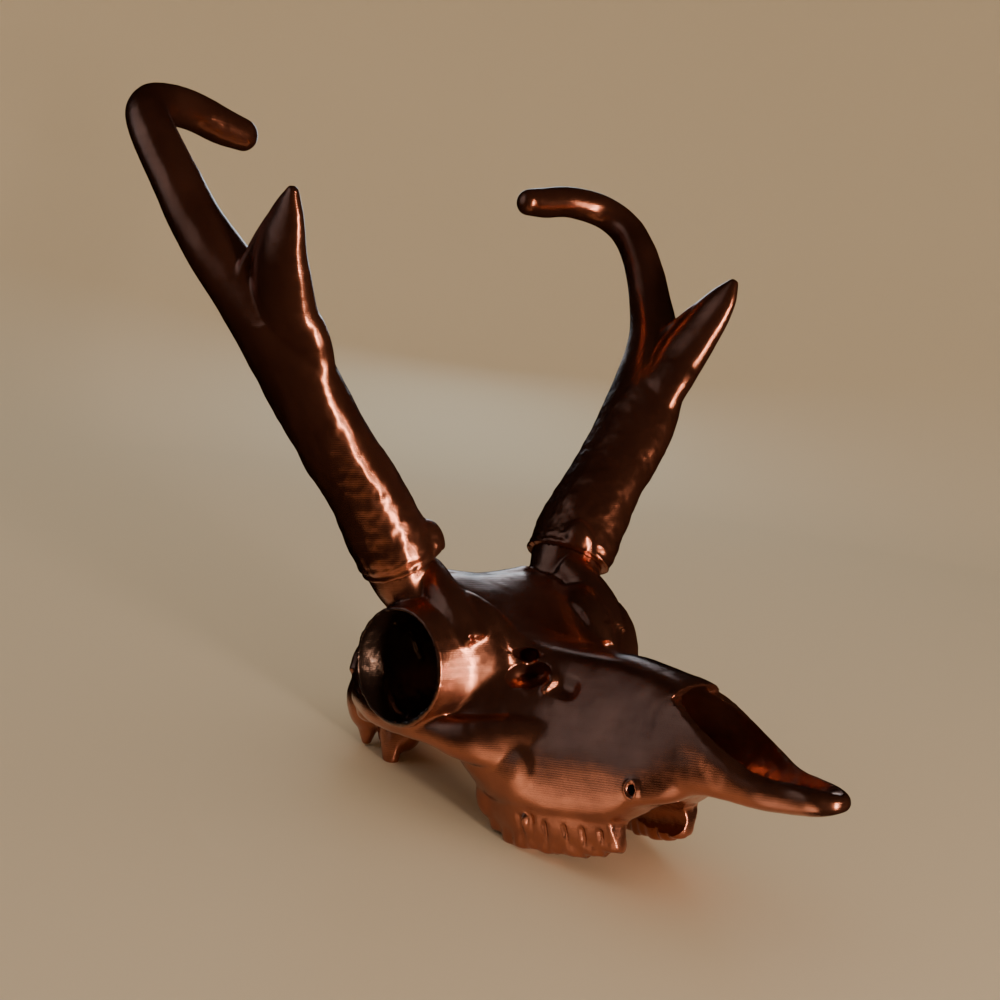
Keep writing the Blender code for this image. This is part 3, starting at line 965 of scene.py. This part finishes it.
@dataclass
class Skull:
    """The whole skull, grown and cast as one piece."""

    bench: Bench
    seat: HornSeat
    face: Face = field(default_factory=Face)
    socket: EyeSocket = field(default_factory=EyeSocket)
    teeth: ToothRow = field(default_factory=ToothRow)
    arch: CheekArch = field(default_factory=CheekArch)
    back: BackOfSkull = field(default_factory=BackOfSkull)
    snout: Snout = field(default_factory=Snout)
    brow_pits: list[Stroke] = field(default_factory=lambda: [
        Stroke(((34.5, -4.5, 92.5), (33.5, -6, 91)), 2.2, 2.0, Lean.SINK, 0.6),
        Stroke(((31.5, -8.5, 88.5), (30.5, -9.5, 87)), 2.4, 2.2, Lean.SINK, 0.6),
        Stroke(((35.5, -8.0, 88.0), (35.5, -9.0, 86)), 1.9, 1.6, Lean.SINK, 0.6),
    ])
    voxel: float = 0.85
    body_rounds: int = 22
    hollow_rounds: int = 10
    triangles: int = 196_000

    def body(self) -> bpy.types.Object:
        """Everything that stands out, fused and eased.

        Returns:
            The body before its hollows are cut.
        """
        clay = Clay()
        self.face.form(clay)
        clay.rod([(-30, 46, 103, 9, 10), (0, 45, 101, 8, 12), (30, 46, 103, 9, 10)])
        self.back.form(clay)
        for side in SIDES:
            self.socket.form(clay, side)
            self.seat.form(clay, side)
            self.arch.form(clay, side)
            self.teeth.form(clay, side)
        item = self.bench.item("skull_cast", clay)
        self.bench.fuse(item, self.voxel, self.body_rounds)
        return item

    def nose_block(self) -> bpy.types.Object:
        """The block that trims the nose opening, with a ragged surface.

        Returns:
            The cutter.
        """
        clay = Clay()
        self.snout.trim(clay)
        item = self.bench.item("nose_block", clay)
        points = self.bench.points(item)
        self.bench.shift(item, [Grain(0.55, 2.4, octaves=2).moved(points)])
        return item

    def hollows(self) -> bpy.types.Object:
        """Everything that is cut out, fused and made ragged.

        Returns:
            The cutter.
        """
        clay = Clay()
        self.snout.hollow(clay)
        self.back.hollow(clay)
        for side in SIDES:
            self.socket.hollow(clay, side)
            self.arch.hollow(clay, side)
        item = self.bench.item("skull_hollows", clay)
        self.bench.fuse(item, self.voxel, self.hollow_rounds)
        points = self.bench.points(item)
        self.bench.shift(item, [Grain(0.2, 3.5, octaves=2).moved(points)])
        return item

    def build(self, material: bpy.types.Material) -> bpy.types.Object:
        """Build the skull.

        Args:
            material: Its finish.

        Returns:
            The finished piece.
        """
        item = self.body()
        points = self.bench.points(item)
        moves = [Grain(0.22, 13.0).moved(points)]
        for side in SIDES:
            moves += [stroke.moved(points, side) for stroke in self.teeth.strokes()]
        self.bench.shift(item, moves)
        self.bench.cut(item, self.nose_block())
        self.bench.cut(item, self.hollows())
        room = Clay()
        for side in SIDES:
            self.seat.above(room, side)
            self.snout.crack(room, side)
        self.bench.cut(item, self.bench.item("horn_room", room))
        points = self.bench.points(item)
        moves = [stroke.moved(points, 1) for stroke in self.brow_pits]
        for side in SIDES:
            fine = self.socket.strokes() + self.snout.strokes()
            moves += [stroke.moved(points, side) for stroke in fine]
        self.bench.shift(item, moves)
        self.bench.soften(item, CUT_DEGREES, 1)
        self.bench.cut(item, self.bench.ground())
        self.bench.thin(item, self.triangles)
        self.bench.deliver(item, material, "skull", "skull_copper")
        return item


@dataclass
class HornSheath:
    """One horn: a flattened sheath with a prong in front and a hook at its end."""

    bench: Bench
    seat: HornSeat
    side: int
    line: list[Row] = field(default_factory=lambda: [
        (46.5, 40.0, 108.0, 20.0, 15.0, 14),
        (50.5, 40.0, 114.5, 22.4, 16.8, 14),
        (54.5, 40.0, 121.0, 24.0, 17.8, 14),
        (60.5, 40.5, 131.0, 24.2, 17.0, 14),
        (71.0, 39.0, 147.0, 23.4, 15.8, 13),
        (83.5, 38.5, 163.0, 23.6, 15.0, 12),
        (95.0, 37.5, 179.0, 24.4, 14.6, 11),
        (105.0, 38.5, 196.0, 24.2, 14.0, 6),
        (114.5, 42.0, 212.0, 21.0, 13.2, 7),
        (123.5, 47.0, 228.0, 17.5, 12.2, 3),
        (131.5, 54.0, 243.0, 14.2, 11.6, 0),
        (138.0, 62.0, 259.0, 12.4, 10.8, 0),
        (143.0, 70.0, 277.0, 11.2, 10.3, 0),
        (147.0, 79.8, 295.0, 10.4, 9.9, 0),
        (147.2, 91.0, 311.0, 9.8, 9.6, 0),
        (138.0, 101.0, 321.5, 9.6, 9.3, 0),
        (120.0, 108.0, 325.0, 9.4, 9.0, 0),
        (103.0, 111.0, 322.4, 9.0, 8.6, 0),
        (91.0, 111.5, 320.6, 8.0, 7.6, 0),
    ])
    prong: list[Row] = field(default_factory=lambda: [
        (99.0, 38.0, 176.0, 12.0, 8.0, 10),
        (102.0, 34.3, 190.0, 19.5, 9.5, 7),
        (106.5, 31.0, 201.0, 19.8, 10.5, 3),
        (112.0, 28.0, 210.0, 20.5, 10.3, 1),
        (117.5, 24.6, 219.0, 18.9, 10.0, 1),
        (125.2, 12.5, 236.5, 15.0, 7.8, 0),
        (128.6, 1.0, 249.5, 9.6, 4.8, 0),
        (130.4, -6.2, 258.6, 2.4, 1.9, 0),
    ])
    web: list[Row] = field(default_factory=lambda: [
        (110.0, 36.0, 200.0, 14.0, 11.0, 6),
        (118.0, 34.0, 216.0, 13.0, 11.0, 3),
    ])
    blade: list[Row] = field(default_factory=lambda: [
        (118.5, 38.0, 216.0, 8.0, 10.5, 0),
        (122.0, 37.4, 225.5, 6.5, 9.4, 0),
        (126.0, 34.0, 235.5, 4.8, 7.6, 0),
        (127.4, 27.0, 241.0, 4.2, 5.6, 0),
        (128.4, 18.5, 246.0, 4.0, 4.8, 0),
        (129.4, 9.0, 250.0, 3.8, 3.8, 0),
        (130.1, 0.5, 254.0, 3.0, 2.6, 0),
        (130.4, -5.0, 257.2, 1.8, 1.6, 0),
    ])
    lips: list[Row] = field(default_factory=lambda: [
        (1.2, 1.0, 2.2, 0.8, 0.7), (5.5, 1.02, 2.2, 0.35, 1.8),
    ])
    lip_radii: tuple[float, float] = (22.6, 17.0)
    lip_points: int = 20
    turn: float = math.radians(14)
    plain_top: float = 250.0
    plain_length: float = 110.0
    knobs_top: float = 160.0
    knobs_length: float = 40.0
    voxel: float = 0.8
    rounds: int = 14
    triangles: int = 150_000

    def strokes(self) -> list[Stroke]:
        """The uneven ridges that ring the sheath above its open end.

        Returns:
            The strokes of the left side.
        """
        base = self.seat.middle(1)
        axis = self.seat.direction(1)
        ahead = Vector((math.sin(self.turn), -math.cos(self.turn), 0))
        ahead = (ahead - axis * ahead.dot(axis)).normalized()
        across = axis.cross(ahead)
        deep, wide = self.lip_radii
        made = []
        for rise, grow, width, height, waver in self.lips:
            ring = []
            for k in range(self.lip_points + 1):
                angle = k * math.tau / self.lip_points
                out = ahead * (deep * grow * math.cos(angle))
                out += across * (wide * grow * math.sin(angle))
                ring.append(tuple(base + axis * rise + out))
            made.append(Stroke(tuple(ring), width, height, waver=waver))
        return made

    def build(
        self, name: str, node: str, slot: str, material: bpy.types.Material
    ) -> bpy.types.Object:
        """Build one horn.

        Args:
            name: The piece's name.
            node: The solid that it stands for.
            slot: The record's material slot.
            material: Its finish.

        Returns:
            The finished piece.
        """
        clay = Clay()
        clay.bar(self.line, self.side)
        clay.bar(self.prong, self.side)
        clay.bar(self.web, self.side)
        clay.bar(self.blade, self.side)
        clay.ball((46.5, 27, 122), (8, 9.5, 12), self.side)
        clay.ball((91, 111.5, 320.6), (7, 8, 7.6), self.side)
        item = self.bench.item(name, clay)
        self.bench.fuse(item, self.voxel, self.rounds)
        points = self.bench.points(item)
        lumps = Grain(0.75, 14.0, (1, 1, 1.3), 3, 7.0 * self.side)
        fade = np.clip((self.plain_top - points[:, 2]) / self.plain_length, 0.25, 1)
        ridges = Grain(0.45, 8.5, (1.6, 1.6, 0.8), 2, 3.0 + self.side)
        low = np.clip((self.knobs_top - points[:, 2]) / self.knobs_length, 0, 1)
        moves = [lumps.moved(points) * fade, ridges.moved(points) * low]
        moves += [stroke.moved(points, self.side) for stroke in self.strokes()]
        self.bench.shift(item, moves)
        end = Clay()
        self.seat.below(end, self.side)
        self.bench.cut(item, self.bench.item("sheath_end", end))
        self.bench.soften(item, CUT_DEGREES, 1)
        self.bench.thin(item, self.triangles)
        self.bench.deliver(item, material, node, slot)
        return item


class Nodes:
    """Short calls for making shader nodes in one tree."""

    def __init__(self, tree: bpy.types.NodeTree) -> None:
        """Keep the tree."""
        self.tree = tree

    def add(self, kind: str, **settings: object) -> bpy.types.Node:
        """A new node with its settings.

        Args:
            kind: Blender's name for the node.
            settings: Its properties by name.

        Returns:
            The node.
        """
        made = self.tree.nodes.new(kind)
        for name, value in settings.items():
            setattr(made, name, value)
        return made

    def math(self, operation: str, one: object, two: object = None) -> bpy.types.NodeSocket:
        """The output of a Math node.

        Args:
            operation: What it does.
            one: Its first input, a socket or a number.
            two: Its second input.

        Returns:
            The output socket.
        """
        made = self.add("ShaderNodeMath", operation=operation)
        for socket, value in zip(made.inputs, (one, two)):
            self.feed(socket, value)
        return made.outputs[0]

    def feed(self, socket: bpy.types.NodeSocket, value: object) -> None:
        """Link or set an input.

        Args:
            socket: The input.
            value: A socket to link, a value to set, or None to leave it alone.
        """
        if isinstance(value, bpy.types.NodeSocket):
            self.tree.links.new(value, socket)
        elif value is not None:
            socket.default_value = value


def new_group(
    name: str, inputs: Sockets, outputs: Sockets
) -> tuple[bpy.types.NodeTree, Nodes, bpy.types.Node, bpy.types.Node]:
    """An empty shader node group with named sockets.

    Args:
        name: The group's name.
        inputs: Pairs of a socket's name and kind.
        outputs: The same for what it puts out.

    Returns:
        The group, a maker for its nodes, and its input and output nodes.
    """
    group = bpy.data.node_groups.new(name, "ShaderNodeTree")
    for label, kind in inputs:
        group.interface.new_socket(name=label, in_out="INPUT", socket_type=kind)
    for label, kind in outputs:
        group.interface.new_socket(name=label, in_out="OUTPUT", socket_type=kind)
    nodes = Nodes(group)
    return group, nodes, nodes.add("NodeGroupInput"), nodes.add("NodeGroupOutput")


def layer_lines() -> bpy.types.NodeTree:
    """The rounded beads of the printed layers, as a height.

    Returns:
        The node group.
    """
    group, nodes, given, out = new_group(
        "layer_lines",
        (("Vector", "NodeSocketVector"), ("Pitch", "NodeSocketFloat")),
        (("Height", "NodeSocketFloat"),),
    )
    wave = nodes.add("ShaderNodeTexNoise")
    wave.inputs["Scale"].default_value = 0.06
    wave.inputs["Detail"].default_value = 2.0
    nodes.feed(wave.inputs["Vector"], given.outputs["Vector"])
    apart = nodes.add("ShaderNodeSeparateXYZ")
    nodes.feed(apart.inputs[0], given.outputs["Vector"])
    height = nodes.math("ADD", apart.outputs["Z"], nodes.math("MULTIPLY", wave.outputs[0], 0.5))
    part = nodes.math("FRACT", nodes.math("DIVIDE", height, given.outputs["Pitch"]))
    bead = nodes.math("MULTIPLY", part, nodes.math("SUBTRACT", 1.0, part))
    nodes.feed(out.inputs["Height"], nodes.math("MULTIPLY", bead, 4.0))
    return group


def cast_wear() -> bpy.types.NodeTree:
    """Broad stains and small pits of a handled cast.

    Returns:
        The node group.
    """
    group, nodes, given, out = new_group(
        "cast_wear",
        (("Vector", "NodeSocketVector"), ("Size", "NodeSocketFloat")),
        (("Stain", "NodeSocketFloat"), ("Pits", "NodeSocketFloat")),
    )
    inverse = nodes.math("DIVIDE", 1.0, given.outputs["Size"])
    stain = nodes.add("ShaderNodeTexNoise")
    stain.inputs["Detail"].default_value = 5.0
    stain.inputs["Roughness"].default_value = 0.6
    nodes.feed(stain.inputs["Vector"], given.outputs["Vector"])
    nodes.feed(stain.inputs["Scale"], inverse)
    pits = nodes.add("ShaderNodeTexNoise")
    pits.inputs["Detail"].default_value = 2.0
    nodes.feed(pits.inputs["Vector"], given.outputs["Vector"])
    nodes.feed(pits.inputs["Scale"], nodes.math("MULTIPLY", inverse, 9.0))
    nodes.feed(out.inputs["Stain"], stain.outputs[0])
    nodes.feed(out.inputs["Pits"], pits.outputs[0])
    return group


def painted_orbit_shade() -> bpy.types.NodeTree:
    """How far a point lies within the cups of the orbits, from 0 at their walls to 1: the mask for
    the shade painted into them.

    Returns:
        The node group.
    """
    group, nodes, given, out = new_group(
        "painted_orbit_shade",
        (("Vector", "NodeSocketVector"), ("Middle", "NodeSocketVector")),
        (("Shade", "NodeSocketFloat"),),
    )
    apart = nodes.add("ShaderNodeVectorMath", operation="SUBTRACT")
    nodes.feed(apart.inputs[0], given.outputs["Vector"])
    nodes.feed(apart.inputs[1], given.outputs["Middle"])
    parts = nodes.add("ShaderNodeSeparateXYZ")
    nodes.feed(parts.inputs[0], apart.outputs[0])
    across = nodes.math("SUBTRACT", nodes.math("ABSOLUTE", parts.outputs["X"]), CUP_BEND)
    ahead = nodes.math("MULTIPLY", parts.outputs["Y"], parts.outputs["Y"])
    above = nodes.math("MULTIPLY", parts.outputs["Z"], parts.outputs["Z"])
    radius = nodes.math("SQRT", nodes.math("ADD", ahead, above))
    steep, slight = (nodes.math("MULTIPLY", across, slope) for slope in CUP_SLOPES)
    limit = nodes.math("ADD", nodes.math("MINIMUM", steep, slight), CUP_RADIUS)
    shade = nodes.add("ShaderNodeMapRange")
    nodes.feed(shade.inputs["Value"], nodes.math("SUBTRACT", limit, radius))
    shade.inputs["From Min"].default_value = CUP_EDGE[0]
    shade.inputs["From Max"].default_value = CUP_EDGE[1]
    nodes.feed(out.inputs["Shade"], shade.outputs[0])
    return group


@dataclass(frozen=True)
class CopperFinish:
    """Glossy copper-coloured printed plastic, with shade painted into the orbits' cups where an
    orbit middle is given.
    """

    name: str
    lay: Lay
    # The middle of the orbits whose cups get painted shade; empty for none.
    orbit: Row = ()
    bright: Row = (0.50, 0.175, 0.105)
    deep: Row = (0.32, 0.105, 0.06)
    # The near-black brown painted as shade deep inside the orbits' cups.
    painted_shade_colour: Row = (0.13, 0.078, 0.06)
    metallic: float = 0.95
    rough_low: float = 0.19
    rough_high: float = 0.27
    pitch: float = 0.9
    layer_depth: float = 0.018
    fine_pitch: float = 0.28
    fine_depth: float = 0.016
    pit_depth: float = 0.006
    stain_size: float = 34.0
    coat: float = 0.15
    coat_roughness: float = 0.2

    def material(self, groups: dict[str, bpy.types.NodeTree]) -> bpy.types.Material:
        """Make the material.

        Args:
            groups: The shared node groups by name.

        Returns:
            The material.
        """
        made = bpy.data.materials.new(self.name)
        made.use_nodes = True
        nodes = Nodes(made.node_tree)
        shader = made.node_tree.nodes["Principled BSDF"]
        coords = nodes.add("ShaderNodeTexCoord")
        level = nodes.add("ShaderNodeMapping")
        level.inputs["Scale"].default_value = (1 / MM, 1 / MM, 1 / MM)
        level.inputs["Rotation"].default_value = (self.lay.tilt(), 0, 0)
        nodes.feed(level.inputs["Vector"], coords.outputs["Object"])

        wear = nodes.add("ShaderNodeGroup", node_tree=groups["cast_wear"])
        nodes.feed(wear.inputs["Vector"], level.outputs[0])
        wear.inputs["Size"].default_value = self.stain_size
        tone = nodes.add("ShaderNodeMapRange")
        nodes.feed(tone.inputs["Value"], wear.outputs["Stain"])
        tone.inputs["From Min"].default_value = 0.35
        tone.inputs["From Max"].default_value = 0.65
        colour = nodes.add("ShaderNodeMix", data_type="RGBA")
        nodes.feed(colour.inputs[0], tone.outputs[0])
        colour.inputs[6].default_value = (*self.deep, 1)
        colour.inputs[7].default_value = (*self.bright, 1)
        shown = colour.outputs[2]
        # Painted shade: the colour turns near-black brown deep inside the orbits' cups.
        if self.orbit:
            cup = nodes.add("ShaderNodeGroup", node_tree=groups["painted_orbit_shade"])
            nodes.feed(cup.inputs["Vector"], coords.outputs["Object"])
            cup.inputs["Middle"].default_value = self.lay.matrix() @ Vector(self.orbit)
            painted_shade_mix = nodes.add("ShaderNodeMix", data_type="RGBA")
            nodes.feed(painted_shade_mix.inputs[0], cup.outputs["Shade"])
            nodes.feed(painted_shade_mix.inputs[6], shown)
            painted_shade_mix.inputs[7].default_value = (*self.painted_shade_colour, 1)
            shown = painted_shade_mix.outputs[2]
        nodes.feed(shader.inputs["Base Color"], shown)

        rough = nodes.add("ShaderNodeMapRange")
        nodes.feed(rough.inputs["Value"], wear.outputs["Pits"])
        rough.inputs["From Min"].default_value = 0.3
        rough.inputs["From Max"].default_value = 0.7
        rough.inputs["To Min"].default_value = self.rough_low
        rough.inputs["To Max"].default_value = self.rough_high
        nodes.feed(shader.inputs["Roughness"], rough.outputs[0])

        lines = nodes.add("ShaderNodeGroup", node_tree=groups["layer_lines"])
        nodes.feed(lines.inputs["Vector"], level.outputs[0])
        lines.inputs["Pitch"].default_value = self.pitch
        fine = nodes.add("ShaderNodeGroup", node_tree=groups["layer_lines"])
        nodes.feed(fine.inputs["Vector"], level.outputs[0])
        fine.inputs["Pitch"].default_value = self.fine_pitch
        coarse = nodes.math("MULTIPLY", lines.outputs["Height"], self.layer_depth)
        thread = nodes.math("MULTIPLY", fine.outputs["Height"], self.fine_depth)
        beads = nodes.math("ADD", coarse, thread)
        pits = nodes.math("MULTIPLY", wear.outputs["Pits"], self.pit_depth)
        bump = nodes.add("ShaderNodeBump")
        bump.inputs["Distance"].default_value = MM
        nodes.feed(bump.inputs["Height"], nodes.math("ADD", beads, pits))
        nodes.feed(shader.inputs["Normal"], bump.outputs[0])

        shader.inputs["Metallic"].default_value = self.metallic
        shader.inputs["Coat Weight"].default_value = self.coat
        shader.inputs["Coat Roughness"].default_value = self.coat_roughness
        return made


@dataclass(frozen=True)
class Softbox:
    """A plain soft light, given in the level frame in metres."""

    name: str
    place: Row
    target: Row
    size: float
    power: float
    colour: Row
    spread: float = 180.0

    def hang(self, lay: Lay) -> None:
        """Make the light.

        Args:
            lay: How the skull lies.
        """
        light = bpy.data.lights.new(self.name, "AREA")
        light.shape = "DISK"
        light.size = self.size
        light.energy = self.power
        light.color = self.colour
        light.spread = math.radians(self.spread)
        item = bpy.data.objects.new(self.name, light)
        bpy.context.scene.collection.objects.link(item)
        start = lay.matrix() @ (Vector(self.place) / MM)
        end = lay.matrix() @ (Vector(self.target) / MM)
        item.rotation_euler = (end - start).to_track_quat("-Z", "Y").to_euler()
        item.location = start
        item.visible_camera = False
        log.info("%s hung", self.name)


@dataclass
class Studio:
    """The floor, the backdrop, the light and the camera."""

    lay: Lay
    floor_middle: float = 0.15
    floor_radius: float = 1.1
    wall_radius: float = 2.6
    wall_height: float = 2.4
    camera_place: Row = (-352.148, -396.837, 118.933)
    camera_right: Row = (0.772415, -0.634987, -0.012925)
    camera_up: Row = (-0.017576, -0.041713, 0.998975)
    camera_back: Row = (-0.634875, -0.771396, -0.043380)
    lens: float = 42.3919
    lights: list[Softbox] = field(default_factory=lambda: [
        Softbox("key_softbox", (-0.10, -1.10, -0.15), (0.0, 0.0, 0.10), 0.16, 14.5, WARM_LIGHT),
        Softbox("side_softbox", (-1.3, 0.7, 0.9), (0.0, 0.0, 0.1), 1.3, 1.8, (0.5, 0.78, 1.0)),
        Softbox("back_softbox", (0.9, 1.1, 0.9), (0.0, 0.0, 0.05), 0.6, 2.0, (0.6, 0.85, 1.0)),
        Softbox(
            "cheek_glow", (-0.086, -0.04, 0.005), (-0.04, -0.06, 0.035), 0.06, 0.005,
            GLOW_LIGHT, 110,
        ),
        Softbox(
            "snout_glow", (-0.06, -0.13, -0.02), (-0.02, -0.10, 0.03), 0.08, 0.013,
            GLOW_LIGHT, 110,
        ),
    ])

    def pale_paper(self) -> bpy.types.Material:
        """The pale matt finish of floor and backdrop.

        Returns:
            The material.
        """
        made = bpy.data.materials.new("pale_paper")
        made.use_nodes = True
        nodes = Nodes(made.node_tree)
        shader = made.node_tree.nodes["Principled BSDF"]
        grain = nodes.add("ShaderNodeTexNoise")
        grain.inputs["Scale"].default_value = 3.0
        colour = nodes.add("ShaderNodeMix", data_type="RGBA")
        nodes.feed(colour.inputs[0], grain.outputs[0])
        colour.inputs[6].default_value = (0.74, 0.62, 0.45, 1)
        colour.inputs[7].default_value = (0.78, 0.66, 0.49, 1)
        nodes.feed(shader.inputs["Base Color"], colour.outputs[2])
        shader.inputs["Roughness"].default_value = 0.9
        return made

    def sweep(self, name: str, outline: list[tuple[float, float]]) -> bpy.types.Object:
        """A round surface from an outline spun about the upright axis.

        Args:
            name: The object's name.
            outline: Points as radius and height.

        Returns:
            The object.
        """
        bm = bmesh.new()
        verts = [bm.verts.new((radius, 0, height)) for radius, height in outline]
        edges = [bm.edges.new(pair) for pair in zip(verts, verts[1:])]
        bmesh.ops.spin(
            bm, geom=verts + edges, cent=(0, 0, 0), axis=(0, 0, 1), angle=math.tau, steps=96,
            use_merge=True, use_duplicate=False,
        )
        bmesh.ops.remove_doubles(bm, verts=bm.verts, dist=1e-5)
        bmesh.ops.recalc_face_normals(bm, faces=bm.faces)
        mesh = bpy.data.meshes.new(name)
        bm.to_mesh(mesh)
        bm.free()
        mesh.shade_smooth()
        item = bpy.data.objects.new(name, mesh)
        bpy.context.scene.collection.objects.link(item)
        return item

    def ground(self) -> None:
        """Lay the floor and stand the seamless backdrop round it."""
        paper = self.pale_paper()
        curve = self.wall_radius - self.floor_radius
        bend = [
            (self.floor_radius + curve * math.sin(k * math.pi / 24),
             curve * (1 - math.cos(k * math.pi / 24)))
            for k in range(13)
        ]
        middle = self.sweep("floor", [(0.0, 0.0), (self.floor_middle, 0.0)])
        flat = [(self.floor_middle, 0.0), (self.floor_radius - 0.02, 0.0)]
        wall = self.sweep("backdrop", flat + bend + [(self.wall_radius, self.wall_height)])
        for item in (middle, wall):
            item.data.materials.append(paper)
            item.visible_glossy = item is middle

    def camera(self) -> None:
        """Stand the camera where the photograph was taken from."""
        data = bpy.data.cameras.new("photo_camera")
        data.sensor_width = 36.0
        data.sensor_fit = "HORIZONTAL"
        data.lens = self.lens
        data.clip_start = 0.01
        item = bpy.data.objects.new("photo_camera", data)
        bpy.context.scene.collection.objects.link(item)
        columns = (self.camera_right, self.camera_up, self.camera_back)
        turn = Matrix(columns).transposed().to_4x4()
        place = Matrix.Translation(Vector(self.camera_place)) @ turn
        seen = self.lay.in_millimetres() @ place
        seen.translation *= MM
        item.matrix_world = seen
        bpy.context.scene.camera = item

    def air(self) -> None:
        """The dim room light, which the gloss does not reflect."""
        world = bpy.data.worlds.new("room")
        bpy.context.scene.world = world
        world.use_nodes = True
        shade = world.node_tree.nodes["Background"]
        shade.inputs["Color"].default_value = (1.0, 0.89, 0.74, 1)
        shade.inputs["Strength"].default_value = 0.62
        world.cycles_visibility.glossy = False

    def build(self) -> None:
        """Set up the whole stage."""
        self.ground()
        self.camera()
        self.air()
        for light in self.lights:
            light.hang(self.lay)


def main() -> None:
    """Build the studio, the skull and the two horns."""
    logging.basicConfig(level=logging.INFO, format="%(message)s")
    noise.seed_set(NOISE_SEED)
    lay = Lay()
    bench = Bench(lay)
    seat = HornSeat()
    groups = {"layer_lines": layer_lines(), "cast_wear": cast_wear(), "painted_orbit_shade": painted_orbit_shade()}
    Studio(lay).build()
    # Painted shade: the skull's copper is a darker copy of the horns' copper, so the skull reads
    # darker than the horns.
    darkened_skull_finish = CopperFinish(
        # The skull's orbits get painted shade in their cups.
        "skull_copper_gloss", lay, orbit=(0, 25.3, 69.4), bright=(0.45, 0.165, 0.10),
        deep=(0.28, 0.10, 0.062),
    )
    Skull(bench, seat).build(darkened_skull_finish.material(groups))
    for side, word in ((1, "left"), (-1, "right")):
        finish = CopperFinish(f"horn_{word}_copper_gloss", lay, metallic=0.945).material(groups)
        sheath = HornSheath(bench, seat, side)
        sheath.build(f"horn_sheath_{word}", f"horn_{word}", f"horn_{word}_copper", finish)


if __name__ == "__main__":
    main()
